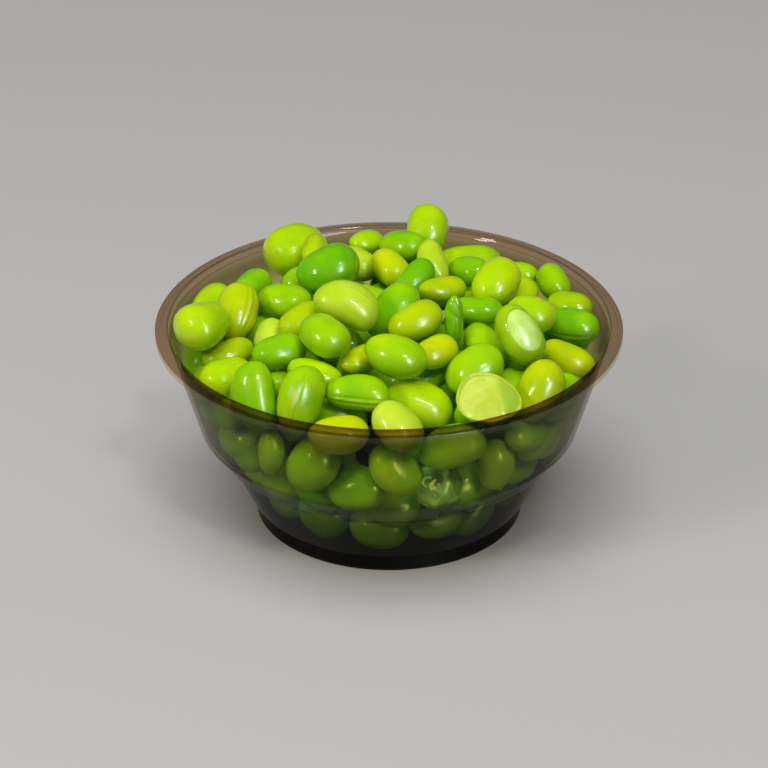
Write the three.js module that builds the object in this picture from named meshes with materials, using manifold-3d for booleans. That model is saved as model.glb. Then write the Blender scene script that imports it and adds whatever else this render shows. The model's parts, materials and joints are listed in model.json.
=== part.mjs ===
// A round clear plastic bowl heaped with loose shelled edamame beans.
// Millimetres, +Z up. The origin is the middle of the foot, on the surface that the bowl stands on,
// and the front of the bowl faces -Y.
import * as THREE from 'three';
import { mergeVertices } from 'three/addons/utils/BufferGeometryUtils.js';
import Module from 'manifold-3d';

const wasm = await Module();
wasm.setup();

// ---- driving dimensions ----

const BOWL_HEIGHT = 51.2;
const RIM_RADIUS = 57;
const LIP_DROP = 2.2;
const WALL = 0.9;
const FOOT_RADIUS = 33.3;
const FOOT_HEIGHT = 4;
const FOOT_RING_WIDTH = 1.8;
const FOOT_DRAFT = 0.7;
const FLOOR_BOTTOM = FOOT_HEIGHT - 0.4;
const FLOOR_TOP = FOOT_HEIGHT + 0.5;
const FLOOR_FILLET = 1.6;
const LUG_COUNT = 9;
const LUG_STEP = 1.1;
const RIM_FLARE = 1.2;
const CLEARANCE = 0.35;
const FUSED_GAP = 0.3;
const BED_WALL_GAP = 0.9;
const TOP_WALL_GAP = 0.5;
const WELD = 1e-4;

// Outer radius of the wall at each height, from the foot to the rim.
const WALL_PROFILE = [
  [34.4, FOOT_HEIGHT + 0.6],
  [38.3, 12.8],
  [40.4, 17.4],
  [41.6, 18.9],
  [42.9, 20.2],
  [46.9, 25],
  [50.5, 37.4],
  [53.7, BOWL_HEIGHT - 2],
];

// The rim, from the wall out round the lip and back over the top: distance in from its outer edge,
// and depth below its top.
const RIM_PROFILE = [
  [2.2, 1.5],
  [1, 1.6],
  [0.9, LIP_DROP],
  [0, LIP_DROP],
  [0, 0.7],
  [1.1, 0.4],
  [2.1, 0],
  [3.1, 0.1],
];
const LUG_LEVELS = [3, 4];
const LEDGE_BOTTOM = 17;
const LEDGE_TOP = 25;

// Each stacking lug spans these angles from its middle, in degrees, with a crisp step at both ends.
const LUG_COLUMNS = [-14.5, -5, 5, 14.5, 15.5, 24.5];
const LUG_HALF_ANGLE = 14.5;

// The heap's surface through the middles of the top beans: a low dome, a little higher at the back.
const HEAP_EDGE = 46;
const HEAP_RISE = 9;
const HEAP_RADIUS = 50;
const HEAP_SLOPE = 0.08;

// Natural shapes of a bean, as shares of its length. The thick end is the one that the heading
// points to, and the scar side is the hollow side of the bend.
const KINDS = {
  plump: { width: 0.78, thickness: 0.68, taper: 0.05, bend: 0.03 },
  oval: { width: 0.69, thickness: 0.61, taper: 0.07, bend: 0.04 },
  kidney: { width: 0.7, thickness: 0.61, taper: 0.03, bend: 0.09 },
  pear: { width: 0.76, thickness: 0.68, taper: 0.26, bend: 0.03 },
  slim: { width: 0.58, thickness: 0.52, taper: 0.08, bend: 0.06 },
  round: { width: 0.88, thickness: 0.78, taper: 0.03, bend: 0.02 },
  split: { width: 0.84, thickness: 0.64, taper: -0.1, bend: 0.02, face: 0.1 },
};
const BLUNTNESS = 2.5;
const BEAN_COLUMNS = 8;
const BEAN_RINGS = 6;
const BED_COLUMNS = 6;
const BED_RINGS = 4;

const SKINS = {
  lime: 0x9ac414,
  yellow: 0xbccb16,
  green: 0x74b008,
  deep: 0x5c9a10,
  pale: 0xb9d445,
  olive: 0x86931c,
  torn: 0xb4d04c,
  cotyledon: 0xd0de70,
};

// ---- the bowl ----

function finish(name, geometry, material) {
  geometry.deleteAttribute('normal');
  geometry.deleteAttribute('uv');
  const merged = mergeVertices(geometry, WELD);
  merged.computeVertexNormals();
  const mesh = new THREE.Mesh(merged, material);
  mesh.name = name;
  return mesh;
}

// Radius and height all round the section: under the floor, round the foot, up the outside of the
// wall, over the rim, and down the inside to the middle of the floor.
function bowlOutline() {
  const footInner = FOOT_RADIUS - FOOT_RING_WIDTH;
  const foot = [[0, FLOOR_BOTTOM], [footInner - FOOT_DRAFT, FLOOR_BOTTOM], [footInner, 0]];
  foot.push([FOOT_RADIUS, 0], [FOOT_RADIUS - FOOT_DRAFT, FOOT_HEIGHT]);
  const rim = RIM_PROFILE.map(([inset, drop]) => [RIM_RADIUS - inset, BOWL_HEIGHT - drop]);
  const inner = WALL_PROFILE.map(([r, z]) => [r - WALL, z + WALL / 3]).reverse();
  const floor = [[inner.at(-1)[0] - FLOOR_FILLET, FLOOR_TOP], [0, FLOOR_TOP]];
  return [...foot, ...WALL_PROFILE, ...rim, ...inner, ...floor];
}

function isLugRow(row, outline) {
  const first = outline.findIndex(([r, z]) => r === WALL_PROFILE[0][0] && z === WALL_PROFILE[0][1]);
  const last = outline.length - 3;
  const outerLevel = row - first;
  const innerLevel = last - row;
  return LUG_LEVELS.includes(outerLevel) || LUG_LEVELS.includes(innerLevel);
}

// The wall is turned round the axis, and each lug pushes the ledge out in a short arc with square ends.
function makeBowl() {
  const outline = bowlOutline();
  const points = outline.map(([r, z]) => new THREE.Vector2(r, z));
  const columns = LUG_COUNT * LUG_COLUMNS.length;
  const geometry = new THREE.LatheGeometry(points, columns);
  const position = geometry.attributes.position;
  for (let column = 0; column <= columns; column += 1) {
    const lug = Math.floor(column / LUG_COLUMNS.length);
    const offset = LUG_COLUMNS[column % LUG_COLUMNS.length];
    const angle = THREE.MathUtils.degToRad(lug * (360 / LUG_COUNT) + offset);
    const step = Math.abs(offset) <= LUG_HALF_ANGLE ? LUG_STEP : 0;
    for (let row = 0; row < outline.length; row += 1) {
      const [r, z] = outline[row];
      const radius = r + (isLugRow(row, outline) ? step - LUG_STEP / 2 : 0);
      const vertex = column * outline.length + row;
      position.setXYZ(vertex, radius * Math.sin(angle), -radius * Math.cos(angle), z);
    }
  }
  const plastic = new THREE.MeshStandardMaterial({ color: 0x6a625c, roughness: 0.08, metalness: 0 });
  plastic.transparent = true;
  plastic.opacity = 0.45;
  return finish('bowl', geometry, plastic);
}

// Room inside the bowl at each height. Above the rim a bean may lean out a little.
function innerRadius(z) {
  const levels = WALL_PROFILE;
  if (z <= levels[0][1]) {
    return levels[0][0] - WALL;
  }
  for (let k = 1; k < levels.length; k += 1) {
    const [r0, z0] = levels[k - 1];
    const [r1, z1] = levels[k];
    if (z <= z1) {
      return r0 + ((r1 - r0) * (z - z0)) / (z1 - z0) - WALL;
    }
  }
  return levels.at(-1)[0] - WALL + RIM_FLARE * Math.max(0, z - BOWL_HEIGHT - CLEARANCE);
}

function heapHeight(x, y) {
  return HEAP_EDGE + HEAP_RISE * (1 - (x * x + y * y) / HEAP_RADIUS ** 2) + HEAP_SLOPE * y;
}

// ---- one bean ----

// A bean lies at a place, with its long axis turned by heading about Z, lifted by rise,
// and rolled about itself, all in degrees.
function bean(kind, skin, place, [heading, rise, roll], length) {
  const turn = new THREE.Euler(
    THREE.MathUtils.degToRad(roll),
    THREE.MathUtils.degToRad(-rise),
    THREE.MathUtils.degToRad(heading),
    'ZYX',
  );
  const centre = new THREE.Vector3(...place);
  return { kind, skin, length, turn, home: centre.clone(), centre, ...KINDS[kind] };
}

// How wide the bean is at a station, from -1 to 1 along it, as a share of its greatest width.
function girthAt(shape, station) {
  const round = Math.sqrt(Math.max(0, 1 - Math.abs(station) ** BLUNTNESS));
  return round * (1 + shape.taper * station);
}

// How far the bean's middle line bends to the scar side at a station.
function bendAt(shape, station) {
  return shape.bend * shape.length * (station * station - 1 / 3);
}

// A point of the bean's skin.
function beanPoint(shape, station, around) {
  const girth = girthAt(shape, station);
  const middle = bendAt(shape, station);
  const side = Math.cos(around) * girth * shape.width * shape.length * 0.5;
  const top = Math.sin(around) * girth * shape.thickness * shape.length * 0.5;
  const flattened = top > 0 ? top * (shape.face ?? 1) : top;
  return new THREE.Vector3(station * shape.length * 0.5, middle + side, flattened);
}

function beanGeometry(shape, columns, rings) {
  const geometry = new THREE.SphereGeometry(1, columns, rings);
  const position = geometry.attributes.position;
  for (let k = 0; k < position.count; k += 1) {
    const ring = Math.floor(k / (columns + 1));
    const column = k % (columns + 1);
    const station = Math.cos((Math.PI * ring) / rings);
    const around = (2 * Math.PI * column) / columns;
    const point = beanPoint(shape, station, around);
    position.setXYZ(k, point.x, point.y, point.z);
  }
  return geometry;
}

// ---- settling: beans are pushed apart as if each were a short chain of balls ----

const STATIONS = [-0.44, -0.22, 0, 0.22, 0.44];
const PUSH_PAIR = 0.35;
const PUSH_FIXED = 0.5;
const PULL_HOME = 0.08;
const PULL_ROUNDS = 0.8;

// The top beans give way mostly along this slant, so that the pattern they were laid in holds.
const SLANT = new THREE.Vector3(0, -0.888, 0.459);

function ballsOf(shape) {
  const balls = [];
  for (const station of STATIONS) {
    const girth = girthAt(shape, station);
    const radius = girth * shape.thickness * shape.length * 0.5;
    const spread = girth * (shape.width - shape.thickness) * shape.length * 0.5;
    for (const side of [-spread, spread]) {
      const at = new THREE.Vector3(station * shape.length * 0.5, bendAt(shape, station) + side, 0);
      balls.push({ at: at.applyEuler(shape.turn), radius });
    }
  }
  return balls;
}

// The deepest overlap of two beans' balls, and the way that the first bean leaves it.
function deepestContact(a, b, gap) {
  const deepest = { depth: 0, direction: new THREE.Vector3() };
  const dx = a.centre.x - b.centre.x;
  const dy = a.centre.y - b.centre.y;
  const dz = a.centre.z - b.centre.z;
  const reach = (a.length + b.length) / 2 + gap;
  if (dx * dx + dy * dy + dz * dz > reach * reach) {
    return deepest;
  }
  for (const p of a.balls) {
    for (const q of b.balls) {
      const x = dx + p.at.x - q.at.x;
      const y = dy + p.at.y - q.at.y;
      const z = dz + p.at.z - q.at.z;
      const distance = Math.sqrt(x * x + y * y + z * z);
      const depth = p.radius + q.radius + gap - distance;
      if (depth > deepest.depth) {
        deepest.depth = depth;
        deepest.direction.set(x / distance, y / distance, z / distance);
      }
    }
  }
  return deepest;
}

// A ball looks for the wall level with its middle, and slantwise below and above it.
const WALL_LOOKS = [-60, -30, 0, 30].map(THREE.MathUtils.degToRad);

function keepInBowl(shape, gap) {
  let inward = 0;
  let lift = 0;
  for (const ball of shape.balls) {
    const x = shape.centre.x + ball.at.x;
    const y = shape.centre.y + ball.at.y;
    const z = shape.centre.z + ball.at.z;
    lift = Math.max(lift, FLOOR_TOP + gap + ball.radius - z);
    for (const look of WALL_LOOKS) {
      const level = z + ball.radius * Math.sin(look);
      const ledge = level > LEDGE_BOTTOM && level < LEDGE_TOP ? LUG_STEP / 2 : 0;
      const room = innerRadius(level) - ledge - gap;
      inward = Math.max(inward, Math.sqrt(x * x + y * y) + ball.radius * Math.cos(look) - room);
    }
  }
  const r = Math.sqrt(shape.centre.x ** 2 + shape.centre.y ** 2);
  shape.centre.x -= (inward * shape.centre.x) / r;
  shape.centre.y -= (inward * shape.centre.y) / r;
  shape.centre.z += lift;
}

// Pushes the loose beans apart, round after round. They are drawn back to where they were laid at
// first, and in the last rounds only kept apart. The fixed ones don't give way.
function settle(loose, fixed, { gap, wallGap, rounds, ceiling, sideways = 1 }) {
  for (const shape of [...loose, ...fixed]) {
    shape.balls = ballsOf(shape);
  }
  for (let round = 0; round < rounds; round += 1) {
    const pull = round < rounds * PULL_ROUNDS ? PULL_HOME : 0;
    const moves = loose.map((shape) => shape.home.clone().sub(shape.centre).multiplyScalar(pull));
    for (let i = 0; i < loose.length; i += 1) {
      for (let j = i + 1; j < loose.length; j += 1) {
        const contact = deepestContact(loose[i], loose[j], gap);
        const push = contact.direction.multiplyScalar(contact.depth * PUSH_PAIR);
        moves[i].add(push);
        moves[j].sub(push);
      }
      for (const other of fixed) {
        const contact = deepestContact(loose[i], other, gap);
        moves[i].add(contact.direction.multiplyScalar(contact.depth * PUSH_FIXED));
      }
    }
    for (let i = 0; i < loose.length; i += 1) {
      const shape = loose[i];
      const slanting = SLANT.clone().multiplyScalar(moves[i].dot(SLANT));
      shape.centre.add(slanting.lerp(moves[i], sideways));
      shape.centre.z = Math.min(shape.centre.z, ceiling(shape.centre.x, shape.centre.y));
      keepInBowl(shape, wallGap);
    }
  }
}

// ---- the bed: beans along the wall and under the top layer ----

function seededRandom(seed) {
  let state = seed;
  return () => {
    state = (state * 48271) % 2147483647;
    return state / 2147483647;
  };
}

// Beans that show through the front wall: azimuth from the front, height, tilt along the wall, length.
const FRONT_WALL = [
  ['oval', -59, 27, -40, 14],
  ['slim', -37, 33, 85, 12],
  ['plump', -27, 32, 50, 15.5],
  ['oval', 0, 32, -45, 15],
  ['oval', -13, 26, 15, 15],
  ['oval', 39, 29, 85, 13],
  ['oval', 54, 33, 30, 14],
  ['oval', 53, 23, 0, 13.5],
  ['plump', 36, 20, 20, 13.5],
  ['oval', 2, 18, 0, 14],
  ['slim', 20, 14, 0, 14],
  ['oval', -11, 9, 0, 15],
  ['oval', 10, 8, 5, 14],
  ['plump', -30, 20, -20, 14],
  ['plump', -34, 10, -30, 14],
  ['oval', -52, 17, -35, 14.5],
  ['slim', 42, 10, 35, 14],
];
const FRONT_HALF_ANGLE = 64;
const WALL_ROWS = [9, 18, 27, 35];
const ROW_PITCH = 13.2;
const ROW_SPREAD = 3;
const WALL_LENGTH = 13;
const WALL_TILT = 90;
const WALL_ROLL = 70;
const WALL_DEPTH = 5;
const WALL_CEILING = 10;
const FILL_COUNT = 56;
const FILL_RADIUS = 45;
const FILL_LENGTH = 12;
const FILL_RISE = 60;
const FILL_DROP = 8;
const FILL_CEILING = 5;
const LENGTH_SPREAD = 3;
const GOLDEN_ANGLE = Math.PI * (3 - Math.sqrt(5));
const BED_KINDS = ['oval', 'plump', 'kidney', 'slim', 'oval', 'pear'];
const random = seededRandom(7);

function wallBean(kind, azimuth, height, tilt, length) {
  const angle = THREE.MathUtils.degToRad(azimuth);
  const radius = innerRadius(height) - WALL_DEPTH;
  const place = [radius * Math.sin(angle), -radius * Math.cos(angle), height];
  return bean(kind, 'olive', place, [azimuth, tilt, WALL_ROLL], length);
}

// Beans all round the wall in rows, with the front ones laid by hand.
function wallBeans() {
  const beans = FRONT_WALL.map((row) => wallBean(...row));
  for (const height of WALL_ROWS) {
    const around = 2 * Math.PI * (innerRadius(height) - WALL_DEPTH);
    const count = Math.round((around * (1 - FRONT_HALF_ANGLE / 180)) / ROW_PITCH);
    for (let k = 0; k < count; k += 1) {
      const azimuth = FRONT_HALF_ANGLE + ((k + 0.5) * (360 - 2 * FRONT_HALF_ANGLE)) / count;
      const kind = BED_KINDS[Math.floor(random() * BED_KINDS.length)];
      const level = height + ROW_SPREAD * (random() - 0.5);
      const tilt = WALL_TILT * (random() - 0.5);
      beans.push(wallBean(kind, azimuth, level, tilt, WALL_LENGTH + LENGTH_SPREAD * random()));
    }
  }
  return beans;
}

// Beans that fill in under the top layer and rise into its gaps, spread evenly by a spiral.
function fillBeans() {
  const beans = [];
  for (let k = 0; k < FILL_COUNT; k += 1) {
    const radius = FILL_RADIUS * Math.sqrt((k + 0.5) / FILL_COUNT);
    const x = radius * Math.cos(k * GOLDEN_ANGLE);
    const y = radius * Math.sin(k * GOLDEN_ANGLE);
    const kind = BED_KINDS[Math.floor(random() * BED_KINDS.length)];
    const turn = [360 * random(), FILL_RISE * (random() - 0.5), 360 * random()];
    const length = FILL_LENGTH + LENGTH_SPREAD * random();
    beans.push(bean(kind, 'olive', [x, y, heapHeight(x, y) - FILL_DROP], turn, length));
  }
  return beans;
}

function toManifold(geometry) {
  geometry.deleteAttribute('normal');
  geometry.deleteAttribute('uv');
  const merged = mergeVertices(geometry, WELD);
  const corners = [];
  const index = merged.index.array;
  for (let k = 0; k < index.length; k += 3) {
    const [a, b, c] = [index[k], index[k + 1], index[k + 2]];
    if (a !== b && b !== c && c !== a) {
      corners.push(a, b, c);
    }
  }
  return new wasm.Manifold(new wasm.Mesh({
    numProp: 3,
    vertProperties: new Float32Array(merged.attributes.position.array),
    triVerts: new Uint32Array(corners),
  }));
}

function fromManifold(solid) {
  const { vertProperties, triVerts } = solid.getMesh();
  const geometry = new THREE.BufferGeometry();
  geometry.setAttribute('position', new THREE.BufferAttribute(vertProperties, 3));
  geometry.setIndex(new THREE.BufferAttribute(triVerts, 1));
  return geometry;
}

function placedBean(shape, columns, rings, growth) {
  const geometry = beanGeometry({ ...shape, length: shape.length + growth }, columns, rings);
  const turn = new THREE.Matrix4().makeRotationFromEuler(shape.turn);
  geometry.applyMatrix4(turn.setPosition(shape.centre));
  return geometry;
}

const CORE_INSET = 7.5;
const CORE_LEVELS = [8, 18, 26, 33];
const CORE_SIDES = 14;
const CORE_FLOOR = FOOT_HEIGHT + 1.2;
const CORE_FLOOR_RADIUS = 22;
const CORE_ROOF_RADIUS = 37;
const CORE_DROP = 12.5;
const PEG_RADIUS = 2.4;
const PEG_SIDES = 5;
const BED_GROWTH = 0.8;
const ROOM_GROWTH = 0.9;

// The hidden middle of the heap: a lump that follows the wall and the heap's surface from inside.
function coreGeometry() {
  const sides = CORE_LEVELS.map((height) => new THREE.Vector2(innerRadius(height) - CORE_INSET, height));
  const floor = [0, CORE_FLOOR_RADIUS].map((r) => new THREE.Vector2(r, CORE_FLOOR));
  const roof = [CORE_ROOF_RADIUS, CORE_FLOOR_RADIUS, 0].map((r) => new THREE.Vector2(r, BOWL_HEIGHT));
  const geometry = new THREE.LatheGeometry([...floor, ...sides, ...roof], CORE_SIDES);
  const position = geometry.attributes.position;
  for (let k = 0; k < position.count; k += 1) {
    const x = position.getX(k);
    const y = -position.getZ(k);
    const level = position.getY(k);
    position.setXYZ(k, x, y, level < BOWL_HEIGHT ? level : heapHeight(x, y) - CORE_DROP);
  }
  return geometry;
}

// A hidden peg from the middle of a bean down into the core, which keeps the bed in one body.
function pegGeometry(shape) {
  const roof = heapHeight(shape.centre.x, shape.centre.y) - CORE_DROP;
  const height = shape.centre.z - roof + PEG_RADIUS;
  const geometry = new THREE.CylinderGeometry(PEG_RADIUS, PEG_RADIUS, height, PEG_SIDES);
  geometry.rotateX(Math.PI / 2);
  geometry.translate(shape.centre.x, shape.centre.y, shape.centre.z - height / 2);
  return geometry;
}

// ---- the top layer: kind, skin, place, [heading, rise, roll], length ----

const TOP_BEANS = [
  // left
  bean('round', 'lime', [-27.5, 39.5, 52.5], [212, -5, 0], 16.5),
  bean('slim', 'yellow', [-19.5, 29.5, 55], [80, 10, 0], 11),
  bean('plump', 'green', [-15.5, 18.5, 56], [10, 20, 0], 16.5),
  bean('oval', 'green', [-34.5, 19.5, 50.5], [60, 0, 0], 12),
  bean('oval', 'yellow', [-37.5, 1, 52.5], [80, 35, -40], 16),
  bean('oval', 'lime', [-44, 17, 47.5], [60, 5, 0], 13),
  bean('pear', 'lime', [-46.5, -8.5, 53], [236, 3, 0], 16),
  bean('oval', 'lime', [-26, 9, 52], [-20, 5, 0], 14),
  bean('oval', 'pale', [-29.5, -3, 48], [80, 10, 0], 12),
  bean('oval', 'yellow', [-21, -5, 53], [40, 10, 0], 13.5),
  bean('plump', 'lime', [-15.5, -19.5, 55.5], [-45, -10, 0], 13.5),
  bean('slim', 'yellow', [-38.5, -10.5, 47.5], [30, 5, 0], 13.5),
  bean('plump', 'lime', [-38.5, -21, 47], [40, -10, 0], 14.5),
  bean('kidney', 'lime', [-31.5, -31, 47], [-70, -60, 60], 16.5),
  bean('oval', 'green', [-26.5, -17, 51], [25, 0, 0], 13.5),
  bean('oval', 'lime', [-21, -35.5, 48.5], [60, 60, -110], 16.5),
  bean('slim', 'lime', [-17.5, -25, 50], [-25, -5, 0], 14),
  bean('slim', 'lime', [-7.5, -33, 49], [-10, 0, 205], 15.5),
  // middle
  bean('kidney', 'pale', [-10, -7.5, 59], [-10, -20, 200], 16.5),
  bean('oval', 'pale', [-8.5, 31.5, 51], [-40, -5, 0], 13),
  bean('oval', 'lime', [-5, 41, 52], [50, -15, 0], 11),
  bean('oval', 'lime', [3.5, 36, 53.5], [-35, 10, 0], 13.5),
  bean('oval', 'yellow', [0.5, 23, 54], [-55, -15, 0], 12.5),
  bean('plump', 'lime', [10, 44.5, 53.5], [75, 45, 0], 14),
  bean('slim', 'pale', [11, 27, 53.5], [-70, -40, 0], 13),
  bean('slim', 'deep', [6, 15, 54.5], [45, 25, 0], 13.5),
  bean('oval', 'green', [1, -1, 54], [30, 40, 0], 16),
  bean('slim', 'yellow', [14, 9.5, 54.5], [30, -10, 0], 13),
  bean('oval', 'yellow', [8, -10, 56], [25, 15, 0], 14),
  bean('oval', 'yellow', [12, -18, 52], [45, 0, 0], 12.5),
  bean('oval', 'lime', [1.5, -26, 54.5], [-20, -10, 0], 15.5),
  bean('slim', 'yellow', [-7, -18.5, 50.5], [50, -5, 0], 12.5),
  // right
  bean('slim', 'lime', [20.5, 41, 47.5], [0, 0, 0], 17),
  bean('plump', 'lime', [26, 12, 54.5], [55, 25, 0], 14.5),
  bean('slim', 'lime', [33, 30.5, 48.5], [-50, 15, 0], 12),
  bean('oval', 'lime', [32.5, 17.5, 49], [75, 10, 0], 12.5),
  bean('oval', 'lime', [41, 23, 49.5], [-70, -20, 0], 11.5),
  bean('plump', 'lime', [35, -0.5, 52.5], [-35, 0, 0], 13),
  bean('oval', 'yellow', [44.5, 13.5, 48.5], [-30, 5, 0], 12),
  bean('oval', 'green', [46.5, 1, 49.5], [-15, 0, 170], 14.5),
  bean('slim', 'green', [21.5, 1, 53], [-20, 5, 0], 13.5),
  bean('oval', 'lime', [23, -9, 49], [-45, -30, 0], 13.5),
  bean('slim', 'yellow', [43, -11, 46.5], [-28, -15, 0], 14),
  bean('plump', 'lime', [19.5, -24, 50], [30, 25, 0], 15),
  bean('oval', 'yellow', [35, -28, 46.5], [40, 50, 0], 16.5),
  // front
  bean('oval', 'lime', [7.5, -28.5, 44.5], [-10, -20, 200], 17),
  bean('plump', 'pale', [0.5, -44, 45.5], [-40, -30, 0], 13.5),
  bean('oval', 'yellow', [-11, -43.5, 43.5], [10, 0, 0], 14.5),
  bean('kidney', 'lime', [15, -41.5, 39], [5, 15, 180], 16),
  // back
  bean('oval', 'lime', [-24.5, 34, 40.5], [45, 10, 0], 11),
  bean('oval', 'lime', [29.5, -20, 45], [60, 10, 0], 12),
  // in the gaps
  bean('oval', 'green', [19.5, 26, 51.5], [-50, 15, 0], 12.5),
];
const SPLIT_BEAN = bean('split', 'cotyledon', [23, -37, 50], [-20, 0, 35], 15);
const TORN_BEAN = bean('oval', 'torn', [31, -16, 54], [-40, -50, 0], 16);
const HUSKED_BEAN = { ...wallBean('round', 17, 25, 10, 12), skin: 'torn' };

// ---- the loose scrap of empty skin ----

const SCRAP = { height: 10.5, width: 5, thickness: 0.7, curl: 110, narrowing: 0.45, bow: 1.2 };
const SCRAP_LEAN = 8;
const SCRAP_HEADING = 200;
const SCRAP_PLACE = [15, -10.5, 55.5];
const SCRAP_COLUMNS = 6;
const SCRAP_ROWS = 4;

// A strip of skin curled about its long axis, standing among the beans and narrower at its top.
function makeScrap(place, material) {
  const geometry = new THREE.BoxGeometry(1, 1, 1, SCRAP_COLUMNS, 1, SCRAP_ROWS);
  const position = geometry.attributes.position;
  const curl = THREE.MathUtils.degToRad(SCRAP.curl);
  const radius = SCRAP.width / curl;
  for (let k = 0; k < position.count; k += 1) {
    const across = position.getX(k);
    const through = position.getY(k);
    const up = position.getZ(k);
    const narrowing = 1 - SCRAP.narrowing * (up + 0.5) ** 2;
    const angle = across * curl * narrowing;
    const r = radius + through * SCRAP.thickness;
    const bow = SCRAP.bow * (1 - 4 * up * up);
    position.setXYZ(k, r * Math.sin(angle), r * Math.cos(angle) - radius - bow, up * SCRAP.height);
  }
  const mesh = finish('skin_scrap', geometry, material);
  mesh.position.set(...place);
  mesh.rotation.set(THREE.MathUtils.degToRad(SCRAP_LEAN), 0, THREE.MathUtils.degToRad(SCRAP_HEADING));
  return mesh;
}

// ---- assembly ----

// The room that the scrap of skin takes up while the beans settle.
const SCRAP_ROOM = bean('slim', 'pale', SCRAP_PLACE, [90, 82, 0], 11);

const wall = wallBeans();
const fill = fillBeans();
const top = [...TOP_BEANS, SPLIT_BEAN, TORN_BEAN, SCRAP_ROOM];
settle([...wall, HUSKED_BEAN], [], {
  gap: FUSED_GAP,
  wallGap: BED_WALL_GAP,
  rounds: 90,
  ceiling: (x, y) => heapHeight(x, y) - WALL_CEILING,
});
settle(top, [...wall, HUSKED_BEAN], {
  gap: CLEARANCE,
  wallGap: TOP_WALL_GAP,
  rounds: 300,
  ceiling: () => Infinity,
  sideways: 0.4,
});
settle(fill, [...wall, HUSKED_BEAN, ...top], {
  gap: 0,
  wallGap: BED_WALL_GAP,
  rounds: 120,
  ceiling: (x, y) => heapHeight(x, y) - FILL_CEILING,
});

const skinMaterials = Object.fromEntries(Object.entries(SKINS).map(([skin, color]) => (
  [skin, new THREE.MeshStandardMaterial({ color, roughness: 0.3, metalness: 0 })]
)));

function makeBean(name, shape) {
  const mesh = finish(name, beanGeometry(shape, BEAN_COLUMNS, BEAN_RINGS), skinMaterials[shape.skin]);
  mesh.position.copy(shape.centre);
  mesh.rotation.copy(shape.turn);
  return mesh;
}

// The bed is one body: its beans are joined to the core, cut back where a separate bean lies close,
// and hollows that the joining closes are filled.
function makeBed() {
  let solid = toManifold(coreGeometry());
  for (const shape of [...wall, ...fill]) {
    solid = solid.add(toManifold(placedBean(shape, BED_COLUMNS, BED_RINGS, BED_GROWTH)));
  }
  for (const shape of fill.filter(({ centre }) => centre.z > heapHeight(centre.x, centre.y) - CORE_DROP)) {
    solid = solid.add(toManifold(pegGeometry(shape)));
  }
  for (const shape of [...top, HUSKED_BEAN]) {
    solid = solid.subtract(toManifold(placedBean(shape, BEAN_COLUMNS, BEAN_RINGS, ROOM_GROWTH)));
  }
  const [largest] = solid.decompose().sort((a, b) => b.volume() - a.volume());
  return finish('bean_bed', fromManifold(largest), skinMaterials.olive);
}

const edamameBowl = new THREE.Group();
edamameBowl.name = 'bowl_of_shelled_edamame';
edamameBowl.add(makeBowl());
edamameBowl.add(makeBed());
const counts = {};
for (const shape of TOP_BEANS) {
  counts[shape.kind] = (counts[shape.kind] ?? 0) + 1;
  edamameBowl.add(makeBean(`${shape.kind}_bean_${String(counts[shape.kind]).padStart(2, '0')}`, shape));
}
edamameBowl.add(makeBean('split_bean', SPLIT_BEAN));
edamameBowl.add(makeBean('torn_bean', TORN_BEAN));
edamameBowl.add(makeBean('husked_bean', HUSKED_BEAN));
edamameBowl.add(makeScrap(SCRAP_ROOM.centre, skinMaterials.pale));

export default edamameBowl;
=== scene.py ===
"""A round clear plastic bowl heaped with loose shelled edamame beans.

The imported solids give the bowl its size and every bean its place. This script dresses them: each
loose bean, the beans below them and along the wall, the torn and split ones, and the moulded bowl.
"""

import json
import logging
import math
from contextlib import contextmanager
from dataclasses import dataclass, field
from enum import Enum, IntEnum
from typing import Callable, Iterable, Iterator

import bmesh
import bpy
import numpy as np
from mathutils import Euler, Matrix, Vector

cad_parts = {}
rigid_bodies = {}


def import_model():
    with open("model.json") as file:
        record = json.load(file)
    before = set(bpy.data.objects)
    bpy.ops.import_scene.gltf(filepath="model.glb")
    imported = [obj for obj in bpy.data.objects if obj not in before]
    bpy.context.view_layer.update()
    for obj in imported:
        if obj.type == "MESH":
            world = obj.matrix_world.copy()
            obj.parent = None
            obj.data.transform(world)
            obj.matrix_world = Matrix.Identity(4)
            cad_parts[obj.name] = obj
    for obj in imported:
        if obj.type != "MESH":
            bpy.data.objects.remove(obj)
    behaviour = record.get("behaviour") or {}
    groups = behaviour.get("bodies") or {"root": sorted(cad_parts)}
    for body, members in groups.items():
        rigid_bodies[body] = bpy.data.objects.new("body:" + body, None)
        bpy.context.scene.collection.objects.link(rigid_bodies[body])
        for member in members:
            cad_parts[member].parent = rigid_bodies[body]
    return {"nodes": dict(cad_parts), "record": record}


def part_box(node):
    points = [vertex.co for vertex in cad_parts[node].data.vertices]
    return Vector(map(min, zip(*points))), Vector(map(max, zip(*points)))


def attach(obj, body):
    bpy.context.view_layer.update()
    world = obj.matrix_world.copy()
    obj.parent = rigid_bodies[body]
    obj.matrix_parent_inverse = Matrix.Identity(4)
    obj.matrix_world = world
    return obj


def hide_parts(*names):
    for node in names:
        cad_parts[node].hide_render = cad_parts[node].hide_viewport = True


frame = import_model()

MM = 0.001
LOG = logging.getLogger("edamame_bowl")

Tree = bpy.types.NodeTree
Socket = bpy.types.NodeSocket
Thing = bpy.types.Object
Triple = tuple[float, float, float]


# ---- small helpers ----


def linear(code: str) -> tuple[float, float, float, float]:
    """Turn an sRGB hex colour into the linear colour that shaders use.

    Args:
        code: Six hex digits, such as "9bc601".

    Returns:
        Linear red, green, blue and an alpha of 1.
    """
    channels = [int(code[k : k + 2], 16) / 255 for k in (0, 2, 4)]
    values = [c / 12.92 if c <= 0.04045 else ((c + 0.055) / 1.055) ** 2.4 for c in channels]
    return (*values, 1.0)


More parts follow.
